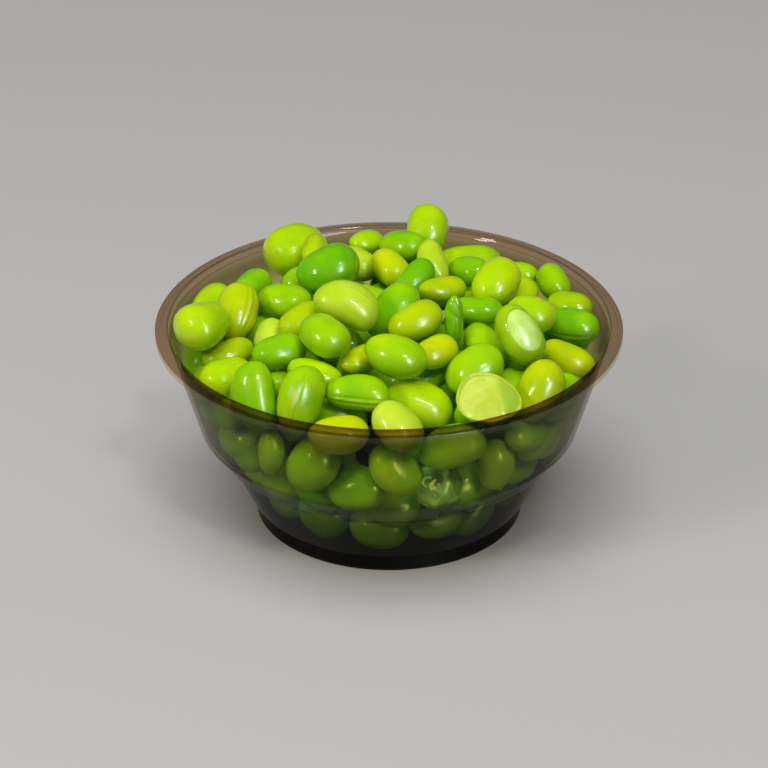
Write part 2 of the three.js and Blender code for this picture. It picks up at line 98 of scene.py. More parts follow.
def add_node(tree: Tree, kind: str, feeds: dict | None = None, **settings) -> bpy.types.Node:
    """Add a shader node with its settings, its socket values and its links.

    Args:
        tree: The material's node tree.
        kind: The node's type, such as "ShaderNodeTexNoise".
        feeds: Socket name or number to a value, or to the output socket that feeds it.
        **settings: Properties of the node itself.

    Returns:
        The new node.
    """
    node = tree.nodes.new(kind)
    for name, value in settings.items():
        setattr(node, name, value)
    for name, value in (feeds or {}).items():
        if isinstance(value, bpy.types.NodeSocket):
            tree.links.new(value, node.inputs[name])
        else:
            node.inputs[name].default_value = value
    return node


def new_material(name: str) -> tuple[bpy.types.Material, Tree]:
    """Make a material with an empty node tree.

    Args:
        name: The material's name.

    Returns:
        The material and its node tree.
    """
    material = bpy.data.materials.new(name)
    material.use_nodes = True
    material.node_tree.nodes.clear()
    return material, material.node_tree


def finish_with(tree: Tree, shader: bpy.types.Node) -> None:
    """Send a shader to the material's output.

    Args:
        tree: The node tree.
        shader: The last shader node.
    """
    add_node(tree, "ShaderNodeOutputMaterial", {"Surface": shader.outputs[0]})


def reckon(tree: Tree, operation: str, *values: float | Socket) -> Socket:
    """Add a step that works on numbers.

    Args:
        tree: The node tree.
        operation: Which step, such as "MULTIPLY".
        *values: What it works on.

    Returns:
        Its result.
    """
    return add_node(tree, "ShaderNodeMath", dict(enumerate(values)), operation=operation).outputs[0]


def map_range(tree: Tree, value: Socket, *ends: float) -> Socket:
    """Stretch a range of values to another, and stop at its ends.

    Args:
        tree: The node tree.
        value: What is stretched.
        *ends: From low and from high, then to low and to high if these aren't 0 and 1.

    Returns:
        The stretched value.
    """
    return add_node(tree, "ShaderNodeMapRange", dict(enumerate((value, *ends)))).outputs[0]


def noise(tree: Tree, place: Socket, size_mm: float, detail: float) -> Socket:
    """Add soft noise.

    Args:
        tree: The node tree.
        place: Where in the object it is read.
        size_mm: How large its clouds are.
        detail: How much finer noise is in it.

    Returns:
        Its value.
    """
    feeds = {"Vector": place, "Scale": 1 / (size_mm * MM), "Detail": detail}
    return add_node(tree, "ShaderNodeTexNoise", feeds).outputs[0]


def bump(tree: Tree, strength: float, depth_mm: float, height: Socket) -> Socket:
    """Turn a height into bent normals.

    Args:
        tree: The node tree.
        strength: How strong the relief looks.
        depth_mm: How deep it is.
        height: The height.

    Returns:
        The normals.
    """
    feeds = {"Strength": strength, "Distance": depth_mm * MM, "Height": height}
    return add_node(tree, "ShaderNodeBump", feeds).outputs[0]


def mix_colour(tree: Tree, share: Socket, one: Socket | tuple, two: Socket | tuple) -> Socket:
    """Mix two colours.

    Args:
        tree: The node tree.
        share: How much of the second shows.
        one: The first colour.
        two: The second.

    Returns:
        The mixed colour.
    """
    return add_node(tree, "ShaderNodeMix", {0: share, 6: one, 7: two}, data_type="RGBA").outputs[2]


def colour_ramp(tree: Tree, share: Socket, stops: Iterable[tuple[float, str]]) -> Socket:
    """Turn a number into a colour.

    Args:
        tree: The node tree.
        share: The number, from 0 to 1.
        stops: Place and colour of each stop, in rising order.

    Returns:
        The colour.
    """
    ramp = add_node(tree, "ShaderNodeValToRGB", {0: share})
    elements = ramp.color_ramp.elements
    first, *between, last = stops
    for element, (place, shade) in zip(elements, (first, last)):
        element.position = place
        element.color = linear(shade)
    for place, shade in between:
        elements.new(place).color = linear(shade)
    return ramp.outputs[0]


def read_attribute(tree: Tree, name: str, output: str = "Fac") -> Socket:
    """Read what is stored on the mesh.

    Args:
        tree: The node tree.
        name: The attribute's name.
        output: Which output is wanted.

    Returns:
        The output.
    """
    return add_node(tree, "ShaderNodeAttribute", attribute_name=name).outputs[output]


def deselect_all() -> None:
    """Leave nothing selected, so that an operator acts only on what is chosen after."""
    for thing in bpy.context.scene.objects:
        thing.select_set(False)


def only(thing: Thing) -> Thing:
    """Select one object alone and make it active.

    Args:
        thing: The object.

    Returns:
        The same object.
    """
    deselect_all()
    thing.select_set(True)
    bpy.context.view_layer.objects.active = thing
    return thing


@contextmanager
def editing(thing: Thing) -> Iterator[None]:
    """Work on one object in edit mode, and leave edit mode after.

    Args:
        thing: The object.

    Yields:
        Nothing.
    """
    only(thing)
    bpy.ops.object.mode_set(mode="EDIT")
    yield
    bpy.ops.object.mode_set(mode="OBJECT")


def select_parts(kind: str, test: Callable[[bmesh.types.BMVert | bmesh.types.BMFace], bool]) -> None:
    """In edit mode, select exactly the vertices or the faces that pass a test.

    Args:
        kind: Either "verts" or "faces".
        test: Called with each of them.
    """
    mesh = bmesh.from_edit_mesh(bpy.context.object.data)
    bpy.ops.mesh.select_all(action="DESELECT")
    for part in [part for part in getattr(mesh, kind) if test(part)]:
        part.select = True
    mesh.select_flush(True)
    bmesh.update_edit_mesh(bpy.context.object.data)


def cut(thing: Thing, point: Iterable[float], normal: Iterable[float], fill: bool = False) -> None:
    """Cut off the side of an object that a plane faces.

    Args:
        thing: The object.
        point: A point of the plane.
        normal: The way that the plane faces.
        fill: Whether the cut is closed.
    """
    with editing(thing):
        bpy.ops.mesh.select_all(action="SELECT")
        bpy.ops.mesh.bisect(plane_co=point, plane_no=normal, clear_outer=True, use_fill=fill)


def join(first: Thing, *others: Thing) -> Thing:
    """Join objects in one.

    Args:
        first: The one that stays.
        *others: Those that become part of it.

    Returns:
        The joined object.
    """
    only(first)
    for thing in others:
        thing.select_set(True)
    bpy.ops.object.join()
    return first


def apply_modifier(thing: Thing, kind: str, **settings) -> None:
    """Add a modifier with its settings and apply it.

    Args:
        thing: The object it shapes.
        kind: The modifier's type, such as "SOLIDIFY".
        **settings: Its properties.
    """
    only(thing)
    modifier = thing.modifiers.new(kind.lower(), kind)
    for name, value in settings.items():
        setattr(modifier, name, value)
    bpy.ops.object.modifier_apply(modifier=modifier.name)


def copy_of(thing: Thing, name: str) -> Thing:
    """Copy an object with a mesh of its own.

    Args:
        thing: What is copied.
        name: The copy's name.

    Returns:
        The copy, in the scene.
    """
    mesh = thing.data.copy()
    mesh.name = name
    copy = bpy.data.objects.new(name, mesh)
    bpy.context.scene.collection.objects.link(copy)
    return copy


def smooth(thing: Thing, degrees: float = 40) -> None:
    """Shade an object smooth, but for the edges sharper than an angle.

    Args:
        thing: The object.
        degrees: The angle.
    """
    only(thing)
    bpy.ops.object.shade_smooth_by_angle(angle=math.radians(degrees))


def even_attribute(thing: Thing, name: str, value: float) -> None:
    """Store one number at every vertex, for a material to read.

    Args:
        thing: The object.
        name: The attribute's name.
        value: The number.
    """
    layer = thing.data.attributes.new(name, "FLOAT", "POINT")
    layer.data.foreach_set("value", [value] * len(thing.data.vertices))


def seeded(seed: int) -> Callable[[], float]:
    """Make a source of even numbers from 0 to 1 that is the same on every run.

    Args:
        seed: Where it starts.

    Returns:
        A function that gives the next number.
    """
    state = seed

    def draw() -> float:
        """Give the next number."""
        nonlocal state
        state = (state * 48271) % 2147483647
        return state / 2147483647

    return draw


# ---- finishes ----


@dataclass(frozen=True)
class BeanSkin:
    """Wet seed skin of a boiled soybean: thin, smooth and slightly see-through over pale flesh.

    The eye gets a saturated green with soft yellow mottling, a milky glow under the surface, a sharp
    film of water on top, and a long scar with a fine groove at each side of it.
    """

    name: str
    shade: str
    ripe: str
    dark: str
    scar_shade: str = "cfd36a"
    mottle_mm: float = 7.0
    pore_mm: float = 0.55
    wave_mm: float = 2.6
    relief_mm: float = 0.035
    roughness: float = 0.3

    def build(self) -> bpy.types.Material:
        """Make the material.

        Returns:
            The material.
        """
        material, tree = new_material(self.name)
        place = add_node(tree, "ShaderNodeTexCoord").outputs["Object"]
        parts = add_node(tree, "ShaderNodeSeparateXYZ", {0: read_attribute(tree, "bean", "Vector")})
        along, scar, across = parts.outputs
        seam = read_attribute(tree, "seam")
        ripeness = reckon(tree, "MULTIPLY_ADD", noise(tree, place, self.mottle_mm, 2.5), 0.9, -0.45)
        ripeness = reckon(tree, "ADD", ripeness, read_attribute(tree, "tone"))
        ramp = colour_ramp(tree, ripeness, ((0.12, self.dark), (0.5, self.shade), (0.88, self.ripe)))
        mark = reckon(tree, "MULTIPLY", self.scar_mark(tree, along, scar, across), seam)
        pores = noise(tree, place, self.pore_mm, 1.0)
        height = reckon(tree, "MULTIPLY_ADD", noise(tree, place, self.wave_mm, 1.0), 5.0, pores)
        groove = reckon(tree, "MULTIPLY", self.seam_groove(tree, along, scar, across), seam)
        normal = bump(tree, 0.5, self.relief_mm, reckon(tree, "MULTIPLY_ADD", groove, 9.0, height))
        shader = add_node(
            tree,
            "ShaderNodeBsdfPrincipled",
            {
                "Base Color": mix_colour(tree, mark, ramp, linear(self.scar_shade)),
                "Roughness": self.roughness,
                "IOR": 1.42,
                "Specular IOR Level": 0.28,
                "Normal": normal,
                "Subsurface Weight": 0.28,
                "Subsurface Radius": (0.25, 1.0, 0.04),
                "Subsurface Scale": 1.3 * MM,
                "Coat Weight": 0.9,
                "Coat Roughness": 0.05,
                "Coat IOR": 1.34,
                "Coat Normal": normal,
            },
        )
        finish_with(tree, shader)
        return material

    @staticmethod
    def scar_mark(tree: Tree, along: Socket, scar: Socket, across: Socket) -> Socket:
        """Mark the long pale scar in the middle of the hollow side.

        Args:
            tree: The node tree.
            along: Place along the bean, from -1 to 1.
            scar: 1 on the scar's side of the bean, -1 opposite.
            across: Place across the scar.

        Returns:
            A value from 0 to 0.5, for how much of the scar's colour shows.
        """
        long = reckon(tree, "MULTIPLY", along, 3.4)
        wide = reckon(tree, "MULTIPLY", across, 9.0)
        oval = add_node(tree, "ShaderNodeCombineXYZ", {0: long, 1: wide}).outputs[0]
        far = add_node(tree, "ShaderNodeVectorMath", {0: oval}, operation="LENGTH").outputs["Value"]
        inside = map_range(tree, far, 1.1, 0.8, 0.0, 0.5)
        return reckon(tree, "MULTIPLY", inside, reckon(tree, "GREATER_THAN", scar, 0.0))

    @staticmethod
    def seam_groove(tree: Tree, along: Socket, scar: Socket, across: Socket) -> Socket:
        """Raise the low ridge that runs along the scar's side, with a groove at each side of it.

        Args:
            tree: The node tree.
            along: Place along the bean, from -1 to 1.
            scar: 1 on the scar's side of the bean, -1 opposite.
            across: Place across the scar.

        Returns:
            The ridge's height, for a bump.
        """
        wave = reckon(tree, "COSINE", reckon(tree, "MULTIPLY", across, 16.0))
        near = map_range(tree, reckon(tree, "ABSOLUTE", across), 0.32, 0.12, 0.0, 1.0)
        front = map_range(tree, scar, 0.0, 0.2)
        ends = map_range(tree, reckon(tree, "ABSOLUTE", along), 0.85, 0.5, 0.0, 1.0)
        ridge = reckon(tree, "MULTIPLY", wave, near)
        return reckon(tree, "MULTIPLY", reckon(tree, "MULTIPLY", ridge, front), ends)


@dataclass(frozen=True)
class BeanFlesh:
    """Moist flesh of a boiled soybean, bared where the skin is split or torn: pale and fine-grained."""

    name: str
    shade: str = "b4cc3a"
    pale: str = "c6da5e"
    green: str = "a4cc38"
    wetness: float = 0.35
    film_roughness: float = 0.12
    cloud_mm: float = 3.5
    grain_mm: float = 1.6
    relief_mm: float = 0.12

    def build(self) -> bpy.types.Material:
        """Make the material.

        Returns:
            The material.
        """
        material, tree = new_material(self.name)
        place = add_node(tree, "ShaderNodeTexCoord").outputs["Object"]
        cloud = noise(tree, place, self.cloud_mm, 3.0)
        ramp = colour_ramp(tree, cloud, ((0.35, self.shade), (0.65, self.pale)))
        shader = add_node(
            tree,
            "ShaderNodeBsdfPrincipled",
            {
                "Base Color": mix_colour(tree, read_attribute(tree, "side"), ramp, linear(self.green)),
                "Roughness": 0.38,
                "IOR": 1.42,
                "Normal": bump(tree, 0.6, self.relief_mm, noise(tree, place, self.grain_mm, 2.0)),
                "Subsurface Weight": 0.35,
                "Subsurface Radius": (1.0, 1.0, 0.5),
                "Subsurface Scale": 1.5 * MM,
                "Coat Weight": self.wetness,
                "Coat Roughness": self.film_roughness,
                "Coat IOR": 1.4,
            },
        )
        finish_with(tree, shader)
        return material


@dataclass(frozen=True)
class SmokeAndPaintedLightPlastic:
    """Clear moulded plastic with a smoke tint, polished, with a faint waviness from the mould.

    The tint is set by height and by zone and isn't the measured colour of any plastic. Besides a smoke tint
    it holds painted light and shade:
    darker at the bottom of the wall, under the rim, at the brim and on the foot, and near clear on the lip.
    Half of it is laid on each surface, as a thin wall has two. Light from lamps passes it almost unchanged,
    so that what is inside stays lit.
    """

    name: str
    tints: tuple[tuple[float, str], ...]
    edge: str
    ior: float
    lamp_pass: str = "fcfcfa"
    bounce_pass: str = "ccccbc"
    flow_mm: float = 14.0
    flow_depth_mm: float = 0.06
    span_mm: float = 52.0
    edge_power: float = 2.2
    roughness: float = 0.06

    def build(self) -> bpy.types.Material:
        """Make the material.

        Returns:
            The material.
        """
        material, tree = new_material(self.name)
        place = add_node(tree, "ShaderNodeTexCoord").outputs["Object"]
        normal = bump(tree, 1.0, self.flow_depth_mm, noise(tree, place, self.flow_mm, 1.0))
        parts = add_node(tree, "ShaderNodeSeparateXYZ", {0: place})
        level = map_range(tree, parts.outputs[2], 0.0, self.span_mm * MM)
        # On the wall the tint by height is painted shade: darker towards the bottom and in a band just under
        # the rim.
        ramp = colour_ramp(tree, level, [(height / self.span_mm, tint) for height, tint in self.tints])
        facing = add_node(tree, "ShaderNodeLayerWeight", {"Blend": 0.5}).outputs["Facing"]
        tint = mix_colour(tree, reckon(tree, "POWER", facing, self.edge_power), ramp, linear(self.edge))
        half = add_node(tree, "ShaderNodeGamma", {"Color": tint, "Gamma": 0.5}).outputs[0]
        clear = add_node(tree, "ShaderNodeBsdfTransparent", {"Color": half}).outputs[0]
        feeds = {"Roughness": self.roughness, "Normal": normal}
        gloss = add_node(tree, "ShaderNodeBsdfAnisotropic", feeds).outputs[0]
        mirror = add_node(tree, "ShaderNodeFresnel", {"IOR": self.ior, "Normal": normal}).outputs[0]
        behind = add_node(tree, "ShaderNodeNewGeometry").outputs["Backfacing"]
        mirror = reckon(tree, "MULTIPLY", mirror, reckon(tree, "SUBTRACT", 1.0, behind))
        plastic = add_node(tree, "ShaderNodeMixShader", {0: mirror, 1: clear, 2: gloss}).outputs[0]
        path = add_node(tree, "ShaderNodeLightPath")
        bounce = path.outputs["Is Diffuse Ray"]
        passed = mix_colour(tree, bounce, linear(self.lamp_pass), linear(self.bounce_pass))
        lamps = add_node(tree, "ShaderNodeBsdfTransparent", {"Color": passed}).outputs[0]
        soft = reckon(tree, "MAXIMUM", path.outputs["Is Shadow Ray"], bounce)
        finish_with(tree, add_node(tree, "ShaderNodeMixShader", {0: soft, 1: plastic, 2: lamps}))
        return material


@dataclass(frozen=True)
class Tabletop:
    """Plain matt laminate, pale and neutral, that the bowl stands on."""

    name: str = "pale_matt_laminate"
    shade: str = "b0b0b1"
    roughness: float = 0.6

    def build(self) -> bpy.types.Material:
        """Make the material.

        Returns:
            The material.
        """
        material, tree = new_material(self.name)
        feeds = {"Base Color": linear(self.shade), "Roughness": self.roughness}
        finish_with(tree, add_node(tree, "ShaderNodeBsdfPrincipled", feeds))
        return material


class Finish(Enum):
    """The finishes of the beans, each named as its material slot."""

    skin_lime = BeanSkin("boiled_skin_lime", "96c800", "b4d800", "6cb400")
    skin_yellow = BeanSkin("boiled_skin_yellow", "acc800", "c8d400", "84b400")
    skin_green = BeanSkin("boiled_skin_green", "7cbc00", "98cc00", "58a800")
    skin_deep = BeanSkin("boiled_skin_deep", "62b000", "7cc000", "449c00")
    skin_pale = BeanSkin("boiled_skin_pale", "b4d424", "c8e048", "94c010")
    skin_olive = BeanSkin("boiled_skin_olive", "88c000", "acd000", "5ca400")
    skin_torn = BeanSkin("boiled_skin_torn", "9cc80c", "b8d830", "7cb400")
    skin_loose = BeanSkin("boiled_skin_loose", "b0ecac", "ccf8c4", "88cc80", mottle_mm=3.0)
    skin_empty = BeanSkin("boiled_skin_empty", "70b800", "8cc800", "58a400")
    bean_flesh = BeanFlesh("boiled_flesh", wetness=0.8, film_roughness=0.16)
    flesh_wet = BeanFlesh("boiled_flesh_wet", "b4dc5c", "c8ec84", wetness=1.0, film_roughness=0.06)


# ---- beans ----


@dataclass(frozen=True)
class BeanForm:
    """The natural shape of one kind of bean, as shares of its length."""

    width: float
    thickness: float
    taper: float
    bend: float
    face: float = 1.0
    bluntness: float = 2.5

    def girth(self, station: float) -> float:
        """Give the girth at a station.

        Args:
            station: Place along the bean, from -1 to 1.

        Returns:
            The girth as a share of the greatest.
        """
        return math.sqrt(max(0.0, 1 - abs(station) ** self.bluntness)) * (1 + self.taper * station)

    def bow(self, station: float) -> float:
        """Give how far the middle line bends to the scar's side at a station.

        Args:
            station: Place along the bean, from -1 to 1.

        Returns:
            The bend as a share of the length.
        """
        return self.bend * (station * station - 1 / 3)

    def model(self, name: str, columns: int, rings: int) -> Thing:
        """Model the bean, one unit long along X with the scar towards +Y.

        A ball is added and its rings are sized and moved one by one, as on a lathe.

        Args:
            name: The object's name.
            columns: Faces round the bean.
            rings: Faces along the bean.

        Returns:
            The bean, with its own map of places in the attribute "bean".
        """
        deselect_all()
        bpy.ops.mesh.primitive_uv_sphere_add(
            segments=columns, ring_count=rings, radius=0.5, rotation=(0, math.pi / 2, 0), calc_uvs=False
        )
        thing = bpy.context.object
        thing.name = thing.data.name = name
        bpy.ops.object.transform_apply(location=False, rotation=True, scale=False)
        with editing(thing):
            for ring in range(1, rings):
                turn = math.pi * ring / rings
                station = math.cos(turn)
                self.select_ring(station)
                share = self.girth(station) / math.sin(turn)
                bpy.ops.transform.resize(
                    value=(1, share * self.width, share * self.thickness),
                    center_override=(0.5 * station, 0, 0),
                )
            if self.face < 1:
                select_parts("verts", lambda vertex: vertex.co.z > 1e-5)
                bpy.ops.transform.resize(value=(1, 1, self.face), center_override=(0, 0, 0))
        self.write_map(thing.data)
        with editing(thing):
            for ring in range(rings + 1):
                station = math.cos(math.pi * ring / rings)
                self.select_ring(station)
                bpy.ops.transform.translate(value=(0, self.bow(station), 0))
        return thing

    @staticmethod
    def select_ring(station: float) -> None:
        """In edit mode, select the ring of vertices at a station.

        Args:
            station: Place along the bean, from -1 to 1.
        """
        select_parts("verts", lambda vertex: abs(vertex.co.x - 0.5 * station) < 1e-4)

    @staticmethod
    def write_map(mesh: bpy.types.Mesh) -> None:
        """Store each vertex's place on a bean: along it, towards the scar, and across the scar.

        Args:
            mesh: The bean's mesh, one unit long and not yet bent.
        """
        layer = mesh.attributes.new("bean", "FLOAT_VECTOR", "POINT")
        values = []
        for vertex in mesh.vertices:
            side = Vector((vertex.co.y, vertex.co.z))
            side = side.normalized() if side.length > 1e-6 else Vector((0, 1))
            values.extend((vertex.co.x * 2, side.x, side.y))
        layer.data.foreach_set("vector", values)


class Kind(Enum):
    """The kinds of bean that grow in a pod."""

    plump = BeanForm(0.78, 0.68, 0.05, 0.03)
    oval = BeanForm(0.69, 0.61, 0.07, 0.04)
    kidney = BeanForm(0.7, 0.61, 0.03, 0.09)
    pear = BeanForm(0.76, 0.68, 0.26, 0.03)
    slim = BeanForm(0.58, 0.52, 0.08, 0.06)
    round = BeanForm(0.88, 0.78, 0.03, 0.02)
    split = BeanForm(0.84, 0.64, -0.1, 0.02, face=0.1)


@dataclass
class Lie:
    """How one bean lies: its kind, its middle, its turn and its length, in millimetres."""

    kind: Kind
    centre: np.ndarray
    turn: np.ndarray
    length: float

    def matrix(self) -> Matrix:
        """Give the matrix that takes a bean one unit long to its place, in metres."""
        matrix = Matrix(self.turn.tolist()).to_4x4() @ Matrix.Scale(self.length * MM, 4)
        matrix.translation = Vector(self.centre.tolist()) * MM
        return matrix

    @classmethod
    def by_angles(cls, kind: Kind, centre: Iterable[float], angles: Triple,
                  length: float) -> "Lie":
        """Lay a bean by heading, rise and roll.

        Args:
            kind: The kind of bean.
            centre: Its middle, in millimetres.
            angles: Heading about Z, rise of the thick end, and roll about itself, in degrees.
            length: Its length, in millimetres.

        Returns:
            How the bean lies.
        """
        heading, rise, roll = (math.radians(a) for a in angles)
        turn = Euler((roll, -rise, heading), "XYZ").to_matrix()
        return cls(kind, np.array(centre, float), np.array(turn), length)

    @classmethod
    def of_node(cls, node: Thing, kind: Kind) -> "Lie":
        """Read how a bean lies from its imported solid.

        Its poles are its two points furthest apart. The wide way is the way that it spreads most
        round that axis, the scar is on the hollow side, and the thick end has the greater girth.

        Args:
            node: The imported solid.
            kind: The kind of bean.

        Returns:
            How the bean lies.
        """
        points = np.array([v.co for v in node.data.vertices], float) / MM
        points = np.unique(np.round(points, 3), axis=0)
        gaps = np.linalg.norm(points[:, None] - points[None], axis=2)
        one, two = np.unravel_index(np.argmax(gaps), gaps.shape)
        middle = (points[one] + points[two]) / 2
        length = float(gaps[one, two])
        along = (points[one] - points[two]) / length
        offset = points - middle
        station = offset @ along
        radial = offset - station[:, None] * along
        radial -= radial.mean(0)
        girth = np.linalg.norm(radial, axis=1)
        if np.sum(station * girth) * (kind.value.taper or 1) < 0:
            along = -along
        values, vectors = np.linalg.eigh(radial.T @ radial)
        side = vectors[:, int(np.argmax(values))]
        if (middle - points.mean(0)) @ side < 0:
            side = -side
        side = side - (side @ along) * along
        side /= np.linalg.norm(side)
        up = np.cross(along, side)
        centre = middle - side * kind.value.bow(1.0) * length
        return cls(kind, centre, np.column_stack([along, side, up]), length)


@dataclass(frozen=True)
class Room:
    """The room that a group of beans is given as it settles, in millimetres."""

    gap: float
    wall_gap: float
    rounds: int
    drop: float


@dataclass
class Settling:
    """Pushes beans apart as if each were a short chain of balls, in the bowl's room."""

    stations: tuple[float, ...] = (-0.44, -0.22, 0.0, 0.22, 0.44)
    push_pair: float = 0.35
    push_fixed: float = 0.5
    pull_home: float = 0.08
    pull_rounds: float = 0.8
    looks: tuple[float, ...] = (-60, -30, 0, 30)

    def balls(self, lies: list[Lie]) -> tuple[np.ndarray, np.ndarray]:
        """Fill each bean with ten balls, two at each station.

        Args:
            lies: How the beans lie.

        Returns:
            The balls' middles from each bean's own middle, and their radii, in millimetres.
        """
        middles, radii = [], []
        for lie in lies:
            form, length = lie.kind.value, lie.length
            for station in self.stations:
                girth = form.girth(station)
                spread = girth * (form.width - form.thickness) * length / 2
                for side in (-spread, spread):
                    local = np.array([station * length / 2, form.bow(station) * length + side, 0])
                    middles.append(lie.turn @ local)
                    radii.append(girth * form.thickness * length / 2)
        count = 2 * len(self.stations)
        return np.array(middles).reshape(-1, count, 3), np.array(radii).reshape(-1, count)

    @staticmethod
    def pushes(
        a: tuple[np.ndarray, np.ndarray, np.ndarray], b: tuple[np.ndarray, np.ndarray, np.ndarray], gap: float
    ) -> np.ndarray:
        """Find the deepest overlap of each pair of beans.

        Args:
            a: Middles of the first beans, and their balls' offsets and radii.
            b: The same of the second beans, in the same order.
            gap: The gap that they should keep.

        Returns:
            For each pair, the way that the first bean leaves the second, as long as the overlap is deep.
        """
        apart = (a[0] - b[0])[:, None, None, :] + a[1][:, :, None, :] - b[1][:, None, :, :]
        distance = np.linalg.norm(apart, axis=3)
        depth = a[2][:, :, None] + b[2][:, None, :] + gap - distance
        flat = depth.reshape(len(depth), -1)
        deepest = np.argmax(flat, axis=1)
        rows = np.arange(len(depth))
        depth = np.maximum(flat[rows, deepest], 0)
        way = apart.reshape(len(apart), -1, 3)[rows, deepest]
        return way / distance.reshape(len(distance), -1)[rows, deepest][:, None] * depth[:, None]

    def settle(self, loose: list[Lie], fixed: list[Lie], bowl: "Bowl", room: Room) -> None:
        """Push the loose beans apart and away from the fixed ones.

        Args:
            loose: Beans that move. Their middles are changed.
            fixed: Beans that stay.
            bowl: The bowl that they must stay in.
            room: The gap between two beans and to the wall, how many times everything is pushed, and
                how far below the heap's surface the middles must stay.
        """
        middles, radii = self.balls(loose)
        fixed_middles, fixed_radii = self.balls(fixed) if fixed else (None, None)
        home = np.array([lie.centre for lie in loose])
        centre = home.copy()
        lengths = np.array([lie.length for lie in loose])
        first, second = np.triu_indices(len(loose), 1)
        one, other = np.indices((len(loose), len(fixed))).reshape(2, -1)
        still = np.array([lie.centre for lie in fixed]).reshape(-1, 3)
        still_lengths = np.array([lie.length for lie in fixed])
        gap = room.gap
        for count in range(room.rounds):
            pull = self.pull_home if count < room.rounds * self.pull_rounds else 0
            moves = (home - centre) * pull
            reach = (lengths[first] + lengths[second]) / 2 + gap
            near = np.linalg.norm(centre[first] - centre[second], axis=1) <= reach
            i, j = first[near], second[near]
            push = self.pushes((centre[i], middles[i], radii[i]), (centre[j], middles[j], radii[j]), gap)
            np.add.at(moves, i, push * self.push_pair)
            np.add.at(moves, j, -push * self.push_pair)
            if fixed:
                reach = (lengths[one] + still_lengths[other]) / 2 + gap
                near = np.linalg.norm(centre[one] - still[other], axis=1) <= reach
                i, j = one[near], other[near]
                push = self.pushes(
                    (centre[i], middles[i], radii[i]), (still[j], fixed_middles[j], fixed_radii[j]), gap
                )
                np.add.at(moves, i, push * self.push_fixed)
            centre += moves
            for k in range(len(loose)):
                centre[k, 2] = min(centre[k, 2], bowl.heap_height(*centre[k, :2]) - room.drop)
            self.keep_in(bowl, centre, middles, radii, room.wall_gap)
        for lie, place in zip(loose, centre):
            lie.centre = place

    def thin(self, loose: list[Lie], fixed: list[Lie], most: float) -> list[Lie]:
        """Leave out the beans that are still deep in another.

        Args:
            loose: Beans that may be left out.
            fixed: Beans that stay.
            most: The overlap that may stay, in millimetres.

        Returns:
            The beans that are kept.
        """
        kept: list[Lie] = []
        for lie in loose:
            beans = [lie, *fixed, *kept]
            middles, radii = self.balls(beans)
            middles = middles + np.array([bean.centre for bean in beans])[:, None, :]
            apart = np.linalg.norm(middles[0][:, None, None, :] - middles[None, 1:], axis=3)
            depth = radii[0][:, None, None] + radii[None, 1:] - apart
            if depth.max() <= most:
                kept.append(lie)
        return kept

    def keep_in(self, bowl: "Bowl", centre: np.ndarray, middles: np.ndarray, radii: np.ndarray,
                gap: float) -> None:
        """Move beans in from the wall and up from the floor.

        Args:
            bowl: The bowl.
            centre: The beans' middles, which are changed.
            middles: Their balls' offsets.
            radii: Their balls' radii.
            gap: The gap from the wall.
        """
        place = centre[:, None, :] + middles
        far = np.hypot(place[..., 0], place[..., 1])
        inward = np.zeros(len(centre))
        for look in np.radians(self.looks):
            level = place[..., 2] + radii * math.sin(look)
            ledge = np.where((level > bowl.ledge[0]) & (level < bowl.ledge[1]), bowl.lug_step / 2, 0)
            room = bowl.inner_radius(level) - ledge - gap
            inward = np.maximum(inward, np.max(far + radii * math.cos(look) - room, axis=1))
        lift = np.maximum(0, np.max(bowl.floor_top + gap + radii - place[..., 2], axis=1))
        r = np.hypot(centre[:, 0], centre[:, 1])
        centre[:, :2] -= (inward / r)[:, None] * centre[:, :2]
        centre[:, 2] += lift


